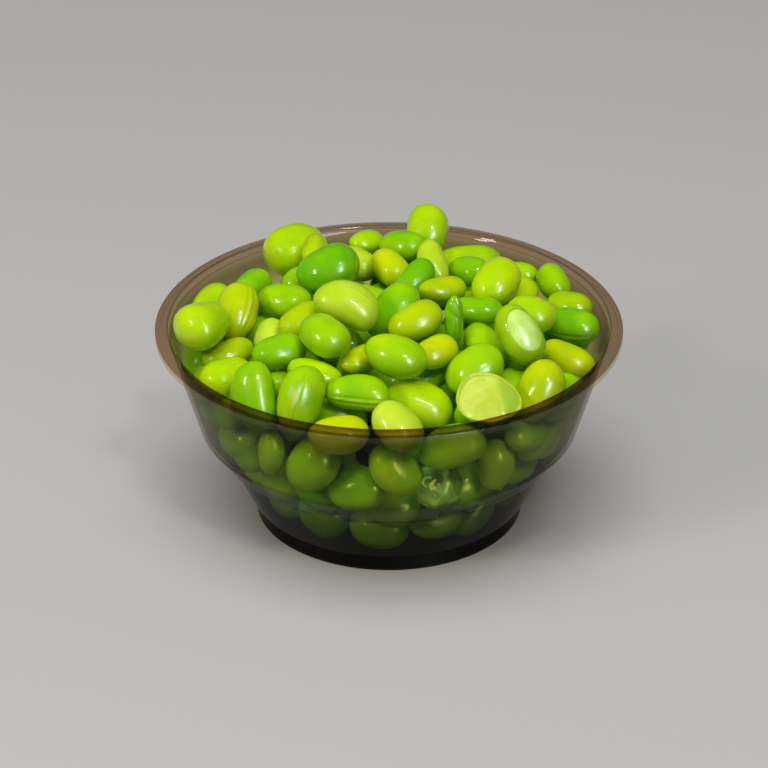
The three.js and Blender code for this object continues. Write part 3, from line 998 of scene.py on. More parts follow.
@dataclass
class BeanSorter:
    """Models one bean of each kind and copies it to where each bean lies."""

    columns: int = 28
    rings: int = 20
    dent_mm: float = 0.45
    dent_pitch_mm: float = 5.5
    patterns: dict[Kind, Thing] = field(default_factory=dict)

    def pattern(self, kind: Kind) -> Thing:
        """Give the modelled bean of a kind, made when it is first asked for.

        Args:
            kind: The kind of bean.

        Returns:
            The bean, one unit long.
        """
        if kind not in self.patterns:
            name = f"pattern_{kind.name}"
            self.patterns[kind] = kind.value.model(name, self.columns, self.rings)
        return self.patterns[kind]

    def lay(self, name: str, lie: Lie, tone: float, seam: float = 0.05,
            scar_way: Triple | None = None) -> Thing:
        """Copy a bean to its place and give it dents of its own.

        Args:
            name: The new object's name.
            lie: How it lies.
            tone: Its ripeness, from 0 to 1.
            seam: How much of its scar and ridge shows, from 0 to 1.
            scar_way: The way that the scar faces, if not the way of the bean's hollow side.

        Returns:
            The bean.
        """
        thing = copy_of(self.pattern(lie.kind), name)
        thing.data.transform(lie.matrix())
        self.dent(thing, self.dent_mm, self.dent_pitch_mm)
        even_attribute(thing, "tone", tone)
        even_attribute(thing, "seam", seam)
        if scar_way:
            self.turn_map(thing.data, lie, scar_way)
        smooth(thing)
        return thing

    @staticmethod
    def turn_map(mesh: bpy.types.Mesh, lie: Lie, way: Triple) -> None:
        """Turn a bean's map of places about its length, so that the scar faces a given way.

        Args:
            mesh: The laid bean.
            lie: How it lies.
            way: The way that the scar should face.
        """
        local = lie.turn.T @ np.array(way)
        turn = math.atan2(local[2], local[1])
        layer = mesh.attributes["bean"]
        for item in layer.data:
            along, side, up = item.vector
            item.vector = (
                along,
                side * math.cos(turn) + up * math.sin(turn),
                up * math.cos(turn) - side * math.sin(turn),
            )

    @staticmethod
    def dent(thing: Thing, depth_mm: float, pitch_mm: float) -> None:
        """Press shallow dents into a piece, different at each place in the bowl.

        Args:
            thing: The piece.
            depth_mm: How deep.
            pitch_mm: How far apart.
        """
        cloud = bpy.data.textures.get("dents") or bpy.data.textures.new("dents", "CLOUDS")
        cloud.noise_scale = pitch_mm * MM
        cloud.noise_depth = 1
        apply_modifier(
            thing, "DISPLACE", texture=cloud, texture_coords="LOCAL", strength=depth_mm * MM, mid_level=0.55
        )

    def clear(self) -> None:
        """Remove the patterns, which aren't part of the heap."""
        for pattern in self.patterns.values():
            bpy.data.objects.remove(pattern)
        self.patterns.clear()


# ---- the bowl ----


class Zone(IntEnum):
    """The zones of the bowl, each with a tint of its own that is partly painted light and shade, numbered as
    its material slots.
    """

    wall = 0
    rim = 1
    foot = 2
    brim = 3
    lip = 4


def even_tint(tint: str) -> tuple[tuple[float, str], ...]:
    """Give the stops of a tint that is the same at every height.

    Args:
        tint: The tint.

    Returns:
        Height and tint of each stop.
    """
    return ((0.0, tint), (SmokeAndPaintedLightPlastic.span_mm, tint))


@dataclass
class Bowl:
    """The moulded bowl: foot ring, raised floor, stacking ledge in nine lugs, wall and turned-down rim."""

    height: float = 51.2
    rim_radius: float = 57.0
    wall: float = 0.9
    foot_radius: float = 33.3
    foot_ring: float = 1.8
    foot_draft: float = 0.7
    foot_height: float = 4.0
    floor_bottom: float = 3.6
    floor_top: float = 4.5
    floor_fillet: float = 1.6
    lug_count: int = 9
    lug_step: float = 1.1
    lug_half_angle: float = 15.0
    lug_margins: tuple[float, float] = (0.6, 0.7)
    ledge: tuple[float, float] = (17.0, 25.0)
    rim_flare: float = 1.2
    clearance: float = 0.35
    columns: int = 360
    hub_radius: float = 6.0
    outside_round: float = 0.35
    rim_round: float = 0.3
    inside_round: float = 0.5
    brim_inset: float = 2.7
    brim_depth: float = 0.7
    facing_up: float = 0.5
    rim_margin: float = 0.4
    foot_margin: float = 0.2
    foot_inset: float = 0.5
    profile: tuple[tuple[float, float], ...] = (
        (34.4, 4.6),
        (38.3, 12.8),
        (40.4, 17.4),
        (41.6, 18.9),
        (42.9, 20.2),
        (46.9, 25.0),
        (50.5, 37.4),
        (53.7, 49.2),
    )
    rim: tuple[tuple[float, float], ...] = (
        (2.2, 1.5),
        (1.0, 1.6),
        (0.9, 2.2),
        (0.0, 2.2),
        (0.0, 0.7),
        (1.1, 0.4),
        (2.1, 0.0),
        (3.1, 0.1),
    )
    # The wall's tint by height is painted shade: darker towards the bottom, where less light reaches, and in
    # a band just under the rim.
    wall_tint_and_shade: tuple[tuple[float, str], ...] = (
        (6.0, "647640"),
        (18.0, "b0b868"),
        (27.0, "e4e488"),
        (39.0, "e0dc84"),
        (45.0, "968c58"),
        (47.2, "968c58"),
        (48.9, "b4a47c"),
    )
    heap_edge: float = 46.0
    heap_rise: float = 9.0
    heap_radius: float = 50.0
    heap_slope: float = 0.08

    def inner_radius(self, level: np.ndarray | float) -> np.ndarray:
        """Give the room inside the wall at a level.

        Args:
            level: Height or heights, in millimetres.

        Returns:
            The radius there. Above the rim a bean may lean out a little.
        """
        radii, levels = zip(*self.profile)
        above = np.maximum(0, np.asarray(level, float) - self.height - self.clearance)
        return np.interp(level, levels, radii) - self.wall + self.rim_flare * above

    def heap_height(self, x: float, y: float) -> float:
        """Give the heap's height through the middles of its top beans.

        Args:
            x: Place to the right, in millimetres.
            y: Place to the back.

        Returns:
            The height, in millimetres.
        """
        share = (x * x + y * y) / self.heap_radius**2
        return self.heap_edge + self.heap_rise * (1 - share) + self.heap_slope * y

    @staticmethod
    def rounded(
        outline: list[tuple[float, float]], radius: float, steps: int = 3
    ) -> list[tuple[float, float]]:
        """Round the corners of a section.

        Args:
            outline: Radius and height of each corner.
            radius: How far from a corner the rounding starts, in millimetres.
            steps: Faces round each corner.

        Returns:
            The section's points, with the ends as they were.
        """
        points = [outline[0]]
        for before, corner, after in zip(outline, outline[1:], outline[2:]):
            a, b, c = Vector(before), Vector(corner), Vector(after)
            start = b + (a - b).normalized() * min(radius, (a - b).length * 0.45)
            end = b + (c - b).normalized() * min(radius, (c - b).length * 0.45)
            for step in range(steps + 1):
                t = step / steps
                point = start.lerp(b, t).lerp(b.lerp(end, t), t)
                points.append((point.x, point.y))
        points.append(outline[-1])
        return points

    def section(self) -> list[tuple[float, float]]:
        """Work out the section, from the middle of the underside round to the middle of the floor.

        Returns:
            Radius and height of each point, in millimetres.
        """
        foot_inner = self.foot_radius - self.foot_ring
        foot = [
            (self.hub_radius, self.floor_bottom),
            (foot_inner - self.foot_draft, self.floor_bottom),
            (foot_inner, 0.0),
            (self.foot_radius, 0.0),
            (self.foot_radius - self.foot_draft, self.foot_height),
        ]
        rim = [(self.rim_radius - inset, self.height - drop) for inset, drop in self.rim]
        inner = [(r - self.wall, z + self.wall / 3) for r, z in reversed(self.profile)]
        floor = [(inner[-1][0] - self.floor_fillet, self.floor_top), (self.hub_radius, self.floor_top)]
        lower = self.rounded([*foot, *self.profile], self.outside_round)
        upper = self.rounded([lower[-1], *rim, inner[0]], self.rim_round)
        inside = self.rounded([*inner, *floor], self.inside_round)
        return [*lower[:-1], *upper[:-1], *inside]

    def build(self) -> Thing:
        """Model the bowl ring by ring up its section, then press out the stacking lugs.

        Returns:
            The bowl.
        """
        section = self.section()
        deselect_all()
        bpy.ops.mesh.primitive_circle_add(
            vertices=self.columns,
            radius=section[0][0] * MM,
            fill_type="TRIFAN",
            location=(0, 0, section[0][1] * MM),
        )
        thing = bpy.context.object
        thing.name = thing.data.name = "bowl_shell"
        bpy.ops.object.transform_apply(location=True, rotation=True, scale=True)
        start = section[0][0] * MM
        with editing(thing):
            select_parts("verts", lambda vertex: vertex.co.to_2d().length > start * 0.99)
            for (r0, z0), (r1, z1) in zip(section, section[1:]):
                bpy.ops.mesh.extrude_region_move(
                    TRANSFORM_OT_translate={"value": (0, 0, (z1 - z0) * MM)}
                )
                bpy.ops.transform.resize(value=(r1 / r0, r1 / r0, 1), center_override=(0, 0, 0))
            bpy.ops.mesh.extrude_region_move(TRANSFORM_OT_translate={"value": (0, 0, 0)})
            bpy.ops.mesh.merge(type="CENTER")
            self.press_lugs()
            bpy.ops.mesh.select_all(action="SELECT")
            bpy.ops.mesh.normals_make_consistent(inside=False)
        smooth(thing, 35)
        return thing

    def press_lugs(self) -> None:
        """Push the ledge out in nine short arcs with square ends, and in between them."""
        middle = (self.profile[3][0] + self.profile[4][0]) / 2
        low = (self.profile[3][1] - self.lug_margins[0]) * MM
        high = (self.profile[4][1] + self.lug_margins[1]) * MM
        for out in (True, False):
            way = 1 if out else -1
            scale = (middle + way * self.lug_step / 2) / middle
            select_parts("verts", lambda v, out=out: low < v.co.z < high and self.on_lug(v.co) == out)
            bpy.ops.transform.resize(value=(scale, scale, 1), center_override=(0, 0, 0))

    def dress(self, shell: Thing) -> None:
        """Give the wall, the rim and the foot their plastic.

        Args:
            shell: The modelled bowl.
        """
        # One clear moulded plastic gets a tint per zone, set to how each zone looks under this light; the rim
        # is browner than the wall.
        plastics = {
            Zone.wall: (self.wall_tint_and_shade, "443820", 1.2),
            Zone.rim: (even_tint("946c50"), "6c4c38", 1.3),
            # Foot: near-black tint, painted shade on plastic as clear as the rest.
            Zone.foot: (even_tint("080607"), "040303", 1.25),
            # Brim: darker tint, a painted dark line of shade along the rim's inner top edge.
            Zone.brim: (even_tint("584c48"), "40342c", 1.4),
            # Lip: near-clear tint, painted light, lighter than the rest of the same plastic.
            Zone.lip: (even_tint("f4f0c0"), "b8a880", 1.4),
        }
        for zone, (tints, edge, ior) in plastics.items():
            plastic = SmokeAndPaintedLightPlastic(f"polystyrene_smoke_and_painted_light_{zone.name}", tints, edge, ior)
            shell.data.materials.append(plastic.build())
        for face in shell.data.polygons:
            face.material_index = self.zone(face)

    def zone(self, face: bpy.types.MeshPolygon) -> Zone:
        """Say which zone of the bowl a face is in.

        Args:
            face: The face.

        Returns:
            Its zone.
        """
        radius, level = face.center.to_2d().length, face.center.z
        foot_inner = self.foot_radius - self.foot_ring - self.foot_draft - self.foot_inset
        if level > (self.height - self.rim[2][1] - self.rim_margin) * MM:
            brim = radius / MM < self.rim_radius - self.brim_inset
            if brim and level > (self.height - self.brim_depth) * MM:
                return Zone.brim
            return Zone.rim if face.normal.z > self.facing_up else Zone.lip
        on_foot = level < (self.foot_height + self.foot_margin) * MM and radius > foot_inner * MM
        return Zone.foot if on_foot else Zone.wall

    def on_lug(self, place: Vector) -> bool:
        """Say whether a point of the ledge is on a lug rather than between two.

        Args:
            place: The point.

        Returns:
            True on a lug.
        """
        pitch = 360 / self.lug_count
        azimuth = math.degrees(math.atan2(place.x, -place.y))
        return abs((azimuth + pitch / 2) % pitch - pitch / 2) < self.lug_half_angle


# ---- the heap ----


@dataclass(frozen=True)
class SplitFace:
    """The bared face of the split bean, as shares of the bean's length where it is a size."""

    low_side: Triple = (0.94, 0.0, 0.34)
    facing_up: float = 0.75
    skin_width: float = 0.045
    sunk: float = 0.03
    dome: float = 0.055
    dome_reach: float = 0.45
    ridge: float = 0.05
    ridge_gain: float = 4.0
    slope: float = 0.75
    slope_from: float = 0.2
    green_from: float = 0.12
    green_gain: float = 5.0


@dataclass
class Heap:
    """All the beans in the bowl: the loose ones on top, and those below and along the wall."""

    bowl: Bowl
    sorter: BeanSorter
    nodes: dict[str, Thing]
    slots: dict[str, str]
    finishes: dict[str, bpy.types.Material]
    wall_rows: tuple[float, ...] = (9.0, 18.0, 27.0, 35.0)
    front_half_angle: float = 64.0
    row_pitch: float = 13.2
    wall_depth: float = 5.0
    wall_roll: float = 70.0
    wall_level_spread: float = 3.0
    wall_tilt_spread: float = 90.0
    wall_lengths: tuple[float, float] = (13.0, 3.0)
    fill_rise_spread: float = 60.0
    backing_tilt_spread: float = 120.0
    hidden_lengths: tuple[float, float] = (12.0, 3.0)
    rim_tilt_spread: float = 30.0
    rim_lengths: tuple[float, float] = (12.0, 2.0)
    fill_count: int = 56
    fill_radius: float = 45.0
    fill_drop: float = 8.0
    backing_rows: tuple[float, ...] = (9.0, 14.0, 22.5, 31.0, 39.0)
    backing_depth: float = 11.0
    most_overlap: float = 0.5
    wall_room: Room = Room(0.0, 0.4, 90, 10)
    fill_room: Room = Room(0.0, 0.9, 120, 5)
    rim_room: Room = Room(0.0, 0.4, 60, 3)
    backing_room: Room = Room(-0.3, 0.4, 60, 9)
    lie_seed: int = 7
    bed_tone_seed: int = 21
    top_tone_seed: int = 5
    bed_tones: tuple[float, float] = (0.2, 0.5)
    top_tones: tuple[float, float] = (0.35, 0.3)
    ripe_bonus: float = 0.2
    bed_grain: tuple[int, int] = (20, 14)
    split_grain: tuple[int, int] = (48, 32)
    split_dents: tuple[float, float] = (0.3, 4.0)
    scrap_dents: tuple[float, float] = (0.9, 3.4)
    scrap_stand_in: tuple[Triple, float] = ((90, 82, 0), 11)
    split: SplitFace = SplitFace()
    torn_away: Triple = (-0.113, -0.28, 0.95)
    torn_reach: float = 0.236
    husk_away: Triple = (1.0, 0.1, 0.3)
    husk_reach: float = 0.3
    husk_wrinkle: float = 1.5
    husk_stand_in: tuple[Kind, float, float, float, float] = (Kind.round, 17, 25, 10, 12)
    skin_thickness: float = 0.3
    flesh_share: float = 0.955
    fold_pitch: float = 2.6
    curl_radius: float = 1.2
    curl_thickness: float = 0.28
    curl_at: Triple = (9.2, -44.6, 31.5)
    curl_cut: Triple = (0.8, 0, -0.6)
    scrap_shift: Triple = (-0.6, -0.4, -0.2)
    scrap_angles: Triple = (90, 80, 90)
    scrap_length: float = 12.6
    scrap_cut: Triple = (0.12, -1, 0.1)
    scrap_squash: Triple = (1.0, 0.6, 0.7)
    scrap_thickness: float = 0.25
    rim_count: int = 6
    rim_row: float = 41.5
    rim_row_reach: tuple[float, float] = (48.0, 118.0)
    scars: dict[str, tuple[float, Triple]] = field(
        default_factory=lambda: {
            "oval_bean_08": (1.0, (-0.2, -0.8, 0.55)),
            "slim_bean_04": (0.8, (0.0, -1.0, 0.0)),
            "oval_bean_20": (0.7, (-0.3, -0.8, -0.2)),
            "oval_bean_02": (0.6, (0.6, -0.5, 0.5)),
            "kidney_bean_01": (0.0, (0.0, 0.0, -1.0)),
            "kidney_bean_02": (0.3, (-0.3, -0.2, 0.9)),
        }
    )
    ripe: tuple[str, ...] = (
        "round_bean_01",
        "pear_bean_01",
        "plump_bean_03",
        "plump_bean_05",
        "plump_bean_06",
        "oval_bean_17",
        "oval_bean_23",
        "slim_bean_09",
    )
    row_kinds: tuple[Kind, ...] = (Kind.oval, Kind.plump, Kind.kidney, Kind.slim, Kind.oval, Kind.pear)
    front_wall: tuple[tuple[Kind, float, float, float, float], ...] = (
        (Kind.oval, -59, 27, -40, 14),
        (Kind.slim, -37, 33, 85, 12),
        (Kind.plump, -27, 32, 50, 15.5),
        (Kind.oval, 0, 32, -45, 15),
        (Kind.oval, -13, 26, 15, 15),
        (Kind.oval, 39, 29, 85, 13),
        (Kind.oval, 54, 33, 30, 14),
        (Kind.oval, 53, 23, 0, 13.5),
        (Kind.plump, 36, 20, 20, 13.5),
        (Kind.oval, 2, 18, 0, 14),
        (Kind.slim, 20, 14, 0, 14),
        (Kind.oval, -11, 9, 0, 15),
        (Kind.oval, 10, 8, 5, 14),
        (Kind.plump, -30, 20, -20, 14),
        (Kind.plump, -34, 10, -30, 14),
        (Kind.oval, -52, 17, -35, 14.5),
        (Kind.slim, 42, 10, 35, 14),
        (Kind.oval, -56, 8.5, 10, 13.5),
        (Kind.plump, 61, 9, 0, 13),
    )

    @staticmethod
    def size(span: tuple[float, float], draw: Callable[[], float]) -> float:
        """Draw a value that is at least the span's first number, and at most its second above that."""
        return span[0] + span[1] * draw()

    def wall_bean(self, kind: Kind, azimuth: float, height: float, tilt: float, length: float) -> Lie:
        """Lay a bean against the wall.

        Args:
            kind: The kind of bean.
            azimuth: Its place round the bowl from the front, in degrees.
            height: Its height, in millimetres.
            tilt: Its slant along the wall, in degrees.
            length: Its length, in millimetres.

        Returns:
            How it lies.
        """
        angle = math.radians(azimuth)
        radius = float(self.bowl.inner_radius(height)) - self.wall_depth
        centre = (radius * math.sin(angle), -radius * math.cos(angle), height)
        return Lie.by_angles(kind, centre, (azimuth, tilt, self.wall_roll), length)

    def wall_beans(self, draw: Callable[[], float]) -> list[Lie]:
        """Lay beans all round the wall in rows, the front ones as listed.

        Args:
            draw: Source of seeded numbers.

        Returns:
            How they lie.
        """
        lies = [self.wall_bean(*row) for row in self.front_wall]
        span = 360 - 2 * self.front_half_angle
        for height in self.wall_rows:
            around = 2 * math.pi * (float(self.bowl.inner_radius(height)) - self.wall_depth)
            count = math.floor(around * (1 - self.front_half_angle / 180) / self.row_pitch + 0.5)
            for k in range(count):
                azimuth = self.front_half_angle + (k + 0.5) * span / count
                kind = self.row_kinds[int(draw() * len(self.row_kinds))]
                level = height + self.wall_level_spread * (draw() - 0.5)
                tilt = self.wall_tilt_spread * (draw() - 0.5)
                length = self.size(self.wall_lengths, draw)
                lies.append(self.wall_bean(kind, azimuth, level, tilt, length))
        return lies

    def fill_beans(self, draw: Callable[[], float]) -> list[Lie]:
        """Lay beans under the top layer on an even spiral.

        Args:
            draw: Source of seeded numbers.

        Returns:
            How they lie.
        """
        golden = math.pi * (3 - math.sqrt(5))
        lies = []
        for k in range(self.fill_count):
            radius = self.fill_radius * math.sqrt((k + 0.5) / self.fill_count)
            x, y = radius * math.cos(k * golden), radius * math.sin(k * golden)
            kind = self.row_kinds[int(draw() * len(self.row_kinds))]
            angles = (360 * draw(), self.fill_rise_spread * (draw() - 0.5), 360 * draw())
            centre = (x, y, self.bowl.heap_height(x, y) - self.fill_drop)
            lies.append(Lie.by_angles(kind, centre, angles, self.size(self.hidden_lengths, draw)))
        return lies

    def backing_beans(self, draw: Callable[[], float]) -> list[Lie]:
        """Lay beans in a second ring, behind the gaps between those at the wall.

        Args:
            draw: Source of seeded numbers.

        Returns:
            How they lie.
        """
        lies = []
        for height in self.backing_rows:
            radius = float(self.bowl.inner_radius(height)) - self.backing_depth
            count = round(2 * math.pi * radius / self.row_pitch)
            for k in range(count):
                azimuth = 360 * (k + draw()) / count
                kind = self.row_kinds[int(draw() * len(self.row_kinds))]
                tilt = self.backing_tilt_spread * (draw() - 0.5)
                lie = self.wall_bean(kind, azimuth, height, tilt, self.size(self.hidden_lengths, draw))
                lie.centre[:2] *= radius / math.hypot(*lie.centre[:2])
                lies.append(lie)
        return lies

    def rim_beans(self, draw: Callable[[], float]) -> list[Lie]:
        """Lay beans high along the wall at both sides, where the loose ones leave room.

        Args:
            draw: Source of seeded numbers.

        Returns:
            How they lie.
        """
        start, end = self.rim_row_reach
        lies = []
        for side in (-1, 1):
            for k in range(self.rim_count):
                azimuth = side * (start + (end - start) * (k + 0.5) / self.rim_count)
                tilt = self.rim_tilt_spread * (draw() - 0.5)
                length = self.size(self.rim_lengths, draw)
                lies.append(self.wall_bean(Kind.oval, azimuth, self.rim_row, tilt, length))
        return lies

    def top_beans(self) -> dict[str, Lie]:
        """Read how the loose beans of the top layer lie.

        Returns:
            Node name to how it lies.
        """
        lies = {}
        for name, node in self.nodes.items():
            kind = name.split("_")[0]
            if kind in Kind.__members__:
                lies[name] = Lie.of_node(node, Kind[kind])
        lies["torn_bean"] = Lie.of_node(self.nodes["torn_bean"], Kind.oval)
        lies["husked_bean"] = Lie.of_node(self.nodes["husked_bean"], Kind.round)
        return lies

    def lay_bed(self, loose: list[Lie]) -> list[tuple[Lie, float]]:
        """Lay the beans along the wall and under the top layer.

        Hidden beans that are still deep in a neighbour after settling are left out. The beans at the
        wall all stay, and some of them still overlap.

        Args:
            loose: How the loose beans lie, but for the husked one.

        Returns:
            How each bean of the bed lies, and its ripeness.
        """
        draw, tones = seeded(self.lie_seed), seeded(self.bed_tone_seed)
        settling = Settling()
        wall, fill = self.wall_beans(draw), self.fill_beans(draw)
        husked = self.wall_bean(*self.husk_stand_in)
        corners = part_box("skin_scrap")
        middle = np.array((corners[0] + corners[1]) / 2) / MM
        scrap = Lie.by_angles(Kind.slim, middle, *self.scrap_stand_in)
        settling.settle([*wall, husked], [], self.bowl, self.wall_room)
        settling.settle(fill, [*wall, husked, *loose, scrap], self.bowl, self.fill_room)
        high = self.rim_beans(draw)
        settling.settle(high, [*wall, husked, *fill, *loose], self.bowl, self.rim_room)
        backing = self.backing_beans(draw)
        settling.settle(backing, [*wall, husked, *fill, *high, *loose], self.bowl, self.backing_room)
        tone_of = {id(lie): self.size(self.bed_tones, tones) for lie in [*wall, *fill, *high, *backing]}
        seen = [*wall, husked, *high, *loose, scrap]
        kept_fill = settling.thin(fill, seen, self.most_overlap)
        kept_backing = settling.thin(backing, [*seen, *kept_fill], self.most_overlap)
        LOG.info("left out: %d, %d", len(fill) - len(kept_fill), len(backing) - len(kept_backing))
        return [(lie, tone_of[id(lie)]) for lie in [*wall, *kept_fill, *high, *kept_backing]]

    def build_bed(self, top: dict[str, Lie]) -> None:
        """Make the beans along the wall and under the top layer, as one piece.

        Args:
            top: How the loose beans lie.
        """
        laid = self.lay_bed([lie for name, lie in top.items() if name != "husked_bean"])
        sorter = BeanSorter(*self.bed_grain, dent_mm=self.sorter.dent_mm)
        beans = [sorter.lay(f"bed_bean_{k:03d}", lie, tone) for k, (lie, tone) in enumerate(laid)]
        sorter.clear()
        bed = join(*beans)
        bed.name = bed.data.name = "bed_of_beans"
        bed.data.materials.append(self.finishes[self.slots["bean_bed"]])
        self.register(bed, "bean_bed")

    def register(self, piece: Thing, node: str) -> None:
        """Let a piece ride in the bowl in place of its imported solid.

        Args:
            piece: The piece.
            node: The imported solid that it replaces.
        """
        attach(piece, "root")
        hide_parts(node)
        LOG.info("%s: %d faces", piece.name, len(piece.data.polygons))

    def cover(self, thing: Thing, finish: str, tone: float, seam: float) -> None:
        """Give a bean or a skin its finish.

        Args:
            thing: The object.
            finish: The finish's name.
            tone: Its ripeness, from 0 to 1.
            seam: How much of its scar shows, from 0 to 1.
        """
        even_attribute(thing, "tone", tone)
        even_attribute(thing, "seam", seam)
        thing.data.materials.append(self.finishes[finish])

    def build(self) -> None:
        """Make every bean of the heap."""
        top = self.top_beans()
        self.build_bed(top)
        tones = seeded(self.top_tone_seed)
        for name, lie in top.items():
            tone = self.size(self.top_tones, tones)
            if name in ("split_bean", "torn_bean", "husked_bean"):
                continue
            tone += self.ripe_bonus if name in self.ripe else 0.0
            piece = self.sorter.lay(f"{name}_skin", lie, tone, *self.scars.get(name, (0.05,)))
            piece.data.materials.append(self.finishes[self.slots[name]])
            self.register(piece, name)
        self.build_split_bean(top["split_bean"])
        self.build_torn_bean(top["torn_bean"])
        self.build_husked_bean(top["husked_bean"])
        self.build_scrap()
        self.sorter.clear()

    def build_split_bean(self, lie: Lie) -> None:
        """Make half a bean with its face bared, skin standing up at one side of it.

        Args:
            lie: How it lies.
        """
        form = self.split
        pattern = Kind.split.value.model("half_bean", *self.split_grain)
        right = Vector((lie.turn.T @ np.array(form.low_side)).tolist())
        right.z = 0.0
        right.normalize()
        with editing(pattern):
            select_parts("faces", lambda face: face.normal.z > form.facing_up)
            bpy.ops.mesh.inset(thickness=form.skin_width)
            bpy.ops.transform.translate(value=(0, 0, -form.sunk))
        bared = [polygon for polygon in pattern.data.polygons if polygon.select]
        for polygon in bared:
            polygon.material_index = 1
        face = {corner for polygon in bared for corner in polygon.vertices}
        side = pattern.data.attributes.new("side", "FLOAT", "POINT")
        for vertex in pattern.data.vertices:
            reach = vertex.co.dot(right)
            far = vertex.co.to_2d().length / form.dome_reach
            if vertex.index in face:
                vertex.co.z += form.dome * max(0.0, 1 - far * far)
            elif vertex.co.z > 0.0:
                vertex.co.z += form.ridge * max(0.0, min(1.0, -reach * form.ridge_gain))
            vertex.co.z -= form.slope * max(0.0, reach - form.slope_from)
            green = (reach - form.green_from) * form.green_gain
            side.data[vertex.index].value = max(0.0, min(1.0, green))
        piece = copy_of(pattern, "split_bean_half")
        bpy.data.objects.remove(pattern)
        piece.data.transform(lie.matrix())
        self.sorter.dent(piece, *self.split_dents)
        even_attribute(piece, "tone", 0.7)
        for finish in ("skin_pale", "bean_flesh"):
            piece.data.materials.append(self.finishes[finish])
        smooth(piece, 40)
        self.register(piece, "split_bean")

    def build_torn_bean(self, lie: Lie) -> None:
        """Make a bean whose skin has slid off one side.

        Args:
            lie: How it lies.
        """
        finishes = ("skin_torn", "flesh_wet")
        piece = self.skinned_bean("torn_bean_open", lie, self.torn_away, self.torn_reach, finishes)
        self.register(piece, "torn_bean")

    def build_husked_bean(self, lie: Lie) -> None:
        """Make a bean in a loose, wrinkled skin that is torn at one end and curls off at the other.

        Args:
            lie: How it lies.
        """
        finishes = ("skin_loose", "skin_olive")
        piece = self.skinned_bean(
            "husked_bean_open", lie, self.husk_away, self.husk_reach, finishes, self.husk_wrinkle
        )
        deselect_all()
        bpy.ops.mesh.primitive_torus_add(
            major_segments=24,
            minor_segments=8,
            major_radius=self.curl_radius * MM,
            minor_radius=self.curl_thickness * MM,
            location=Vector(self.curl_at) * MM,
            rotation=(math.radians(60), 0, 0),
        )
        curl = bpy.context.object
        bpy.ops.object.transform_apply(location=True, rotation=True, scale=True)
        cut(curl, Vector(self.curl_at) * MM, self.curl_cut, fill=True)
        self.cover(curl, "skin_loose", 0.1, 0.0)
        smooth(join(piece, curl), 50)
        self.register(piece, "husked_bean")

    def skinned_bean(self, name: str, lie: Lie, away: Triple, reach: float, finishes: tuple[str, str],
                     wrinkle_mm: float = 0.0) -> Thing:
        """Make a bean of flesh inside a thin skin that is cut off on one side.

        Args:
            name: The piece's name.
            lie: How it lies.
            away: The side that the skin has left, in the bean's own directions.
            reach: How far out from the middle the skin's edge is, as a share of the length.
            finishes: Names of the skin's finish and the flesh's.
            wrinkle_mm: How deep the skin's wrinkles are.

        Returns:
            The piece, skin and flesh in one.
        """
        pattern = self.sorter.pattern(lie.kind)
        flesh = copy_of(pattern, f"{name}_flesh")
        flesh.data.transform(Matrix.Scale(self.flesh_share, 4))
        skin = copy_of(pattern, name)
        side = Vector(away).normalized()
        cut(skin, side * reach, side)
        for thing in (skin, flesh):
            thing.data.transform(lie.matrix())
        apply_modifier(skin, "SOLIDIFY", thickness=self.skin_thickness * MM, offset=-1.0)
        if wrinkle_mm:
            apply_modifier(skin, "SUBSURF", levels=1, render_levels=1)
            folds = bpy.data.textures.new("folds", "VORONOI")
            folds.noise_scale = self.fold_pitch * MM
            depth = wrinkle_mm * MM
            apply_modifier(
                skin, "DISPLACE", texture=folds, texture_coords="LOCAL", strength=depth, mid_level=0.4
            )
        for thing, finish in zip((skin, flesh), finishes):
            self.sorter.dent(thing, self.sorter.dent_mm, self.sorter.dent_pitch_mm)
            self.cover(thing, finish, 0.5, 0.12)
        smooth(join(skin, flesh), 50)
        return skin

    def build_scrap(self) -> None:
        """Make the scrap of empty skin, half the husk of a slim bean standing on its end."""
        low, high = (np.array(corner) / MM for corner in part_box("skin_scrap"))
        middle = (low + high) / 2 + np.array(self.scrap_shift)
        lie = Lie.by_angles(Kind.slim, middle, self.scrap_angles, self.scrap_length)
        piece = copy_of(self.sorter.pattern(Kind.slim), "skin_scrap_husk")
        cut(piece, (0, 0, 0), self.scrap_cut)
        piece.data.transform(lie.matrix() @ Matrix.Diagonal((*self.scrap_squash, 1.0)))
        apply_modifier(piece, "SOLIDIFY", thickness=self.scrap_thickness * MM, offset=-1.0)
        self.sorter.dent(piece, *self.scrap_dents)
        self.cover(piece, "skin_empty", 0.5, 0.3)
        smooth(piece, 60)
        self.register(piece, "skin_scrap")


# ---- the studio ----


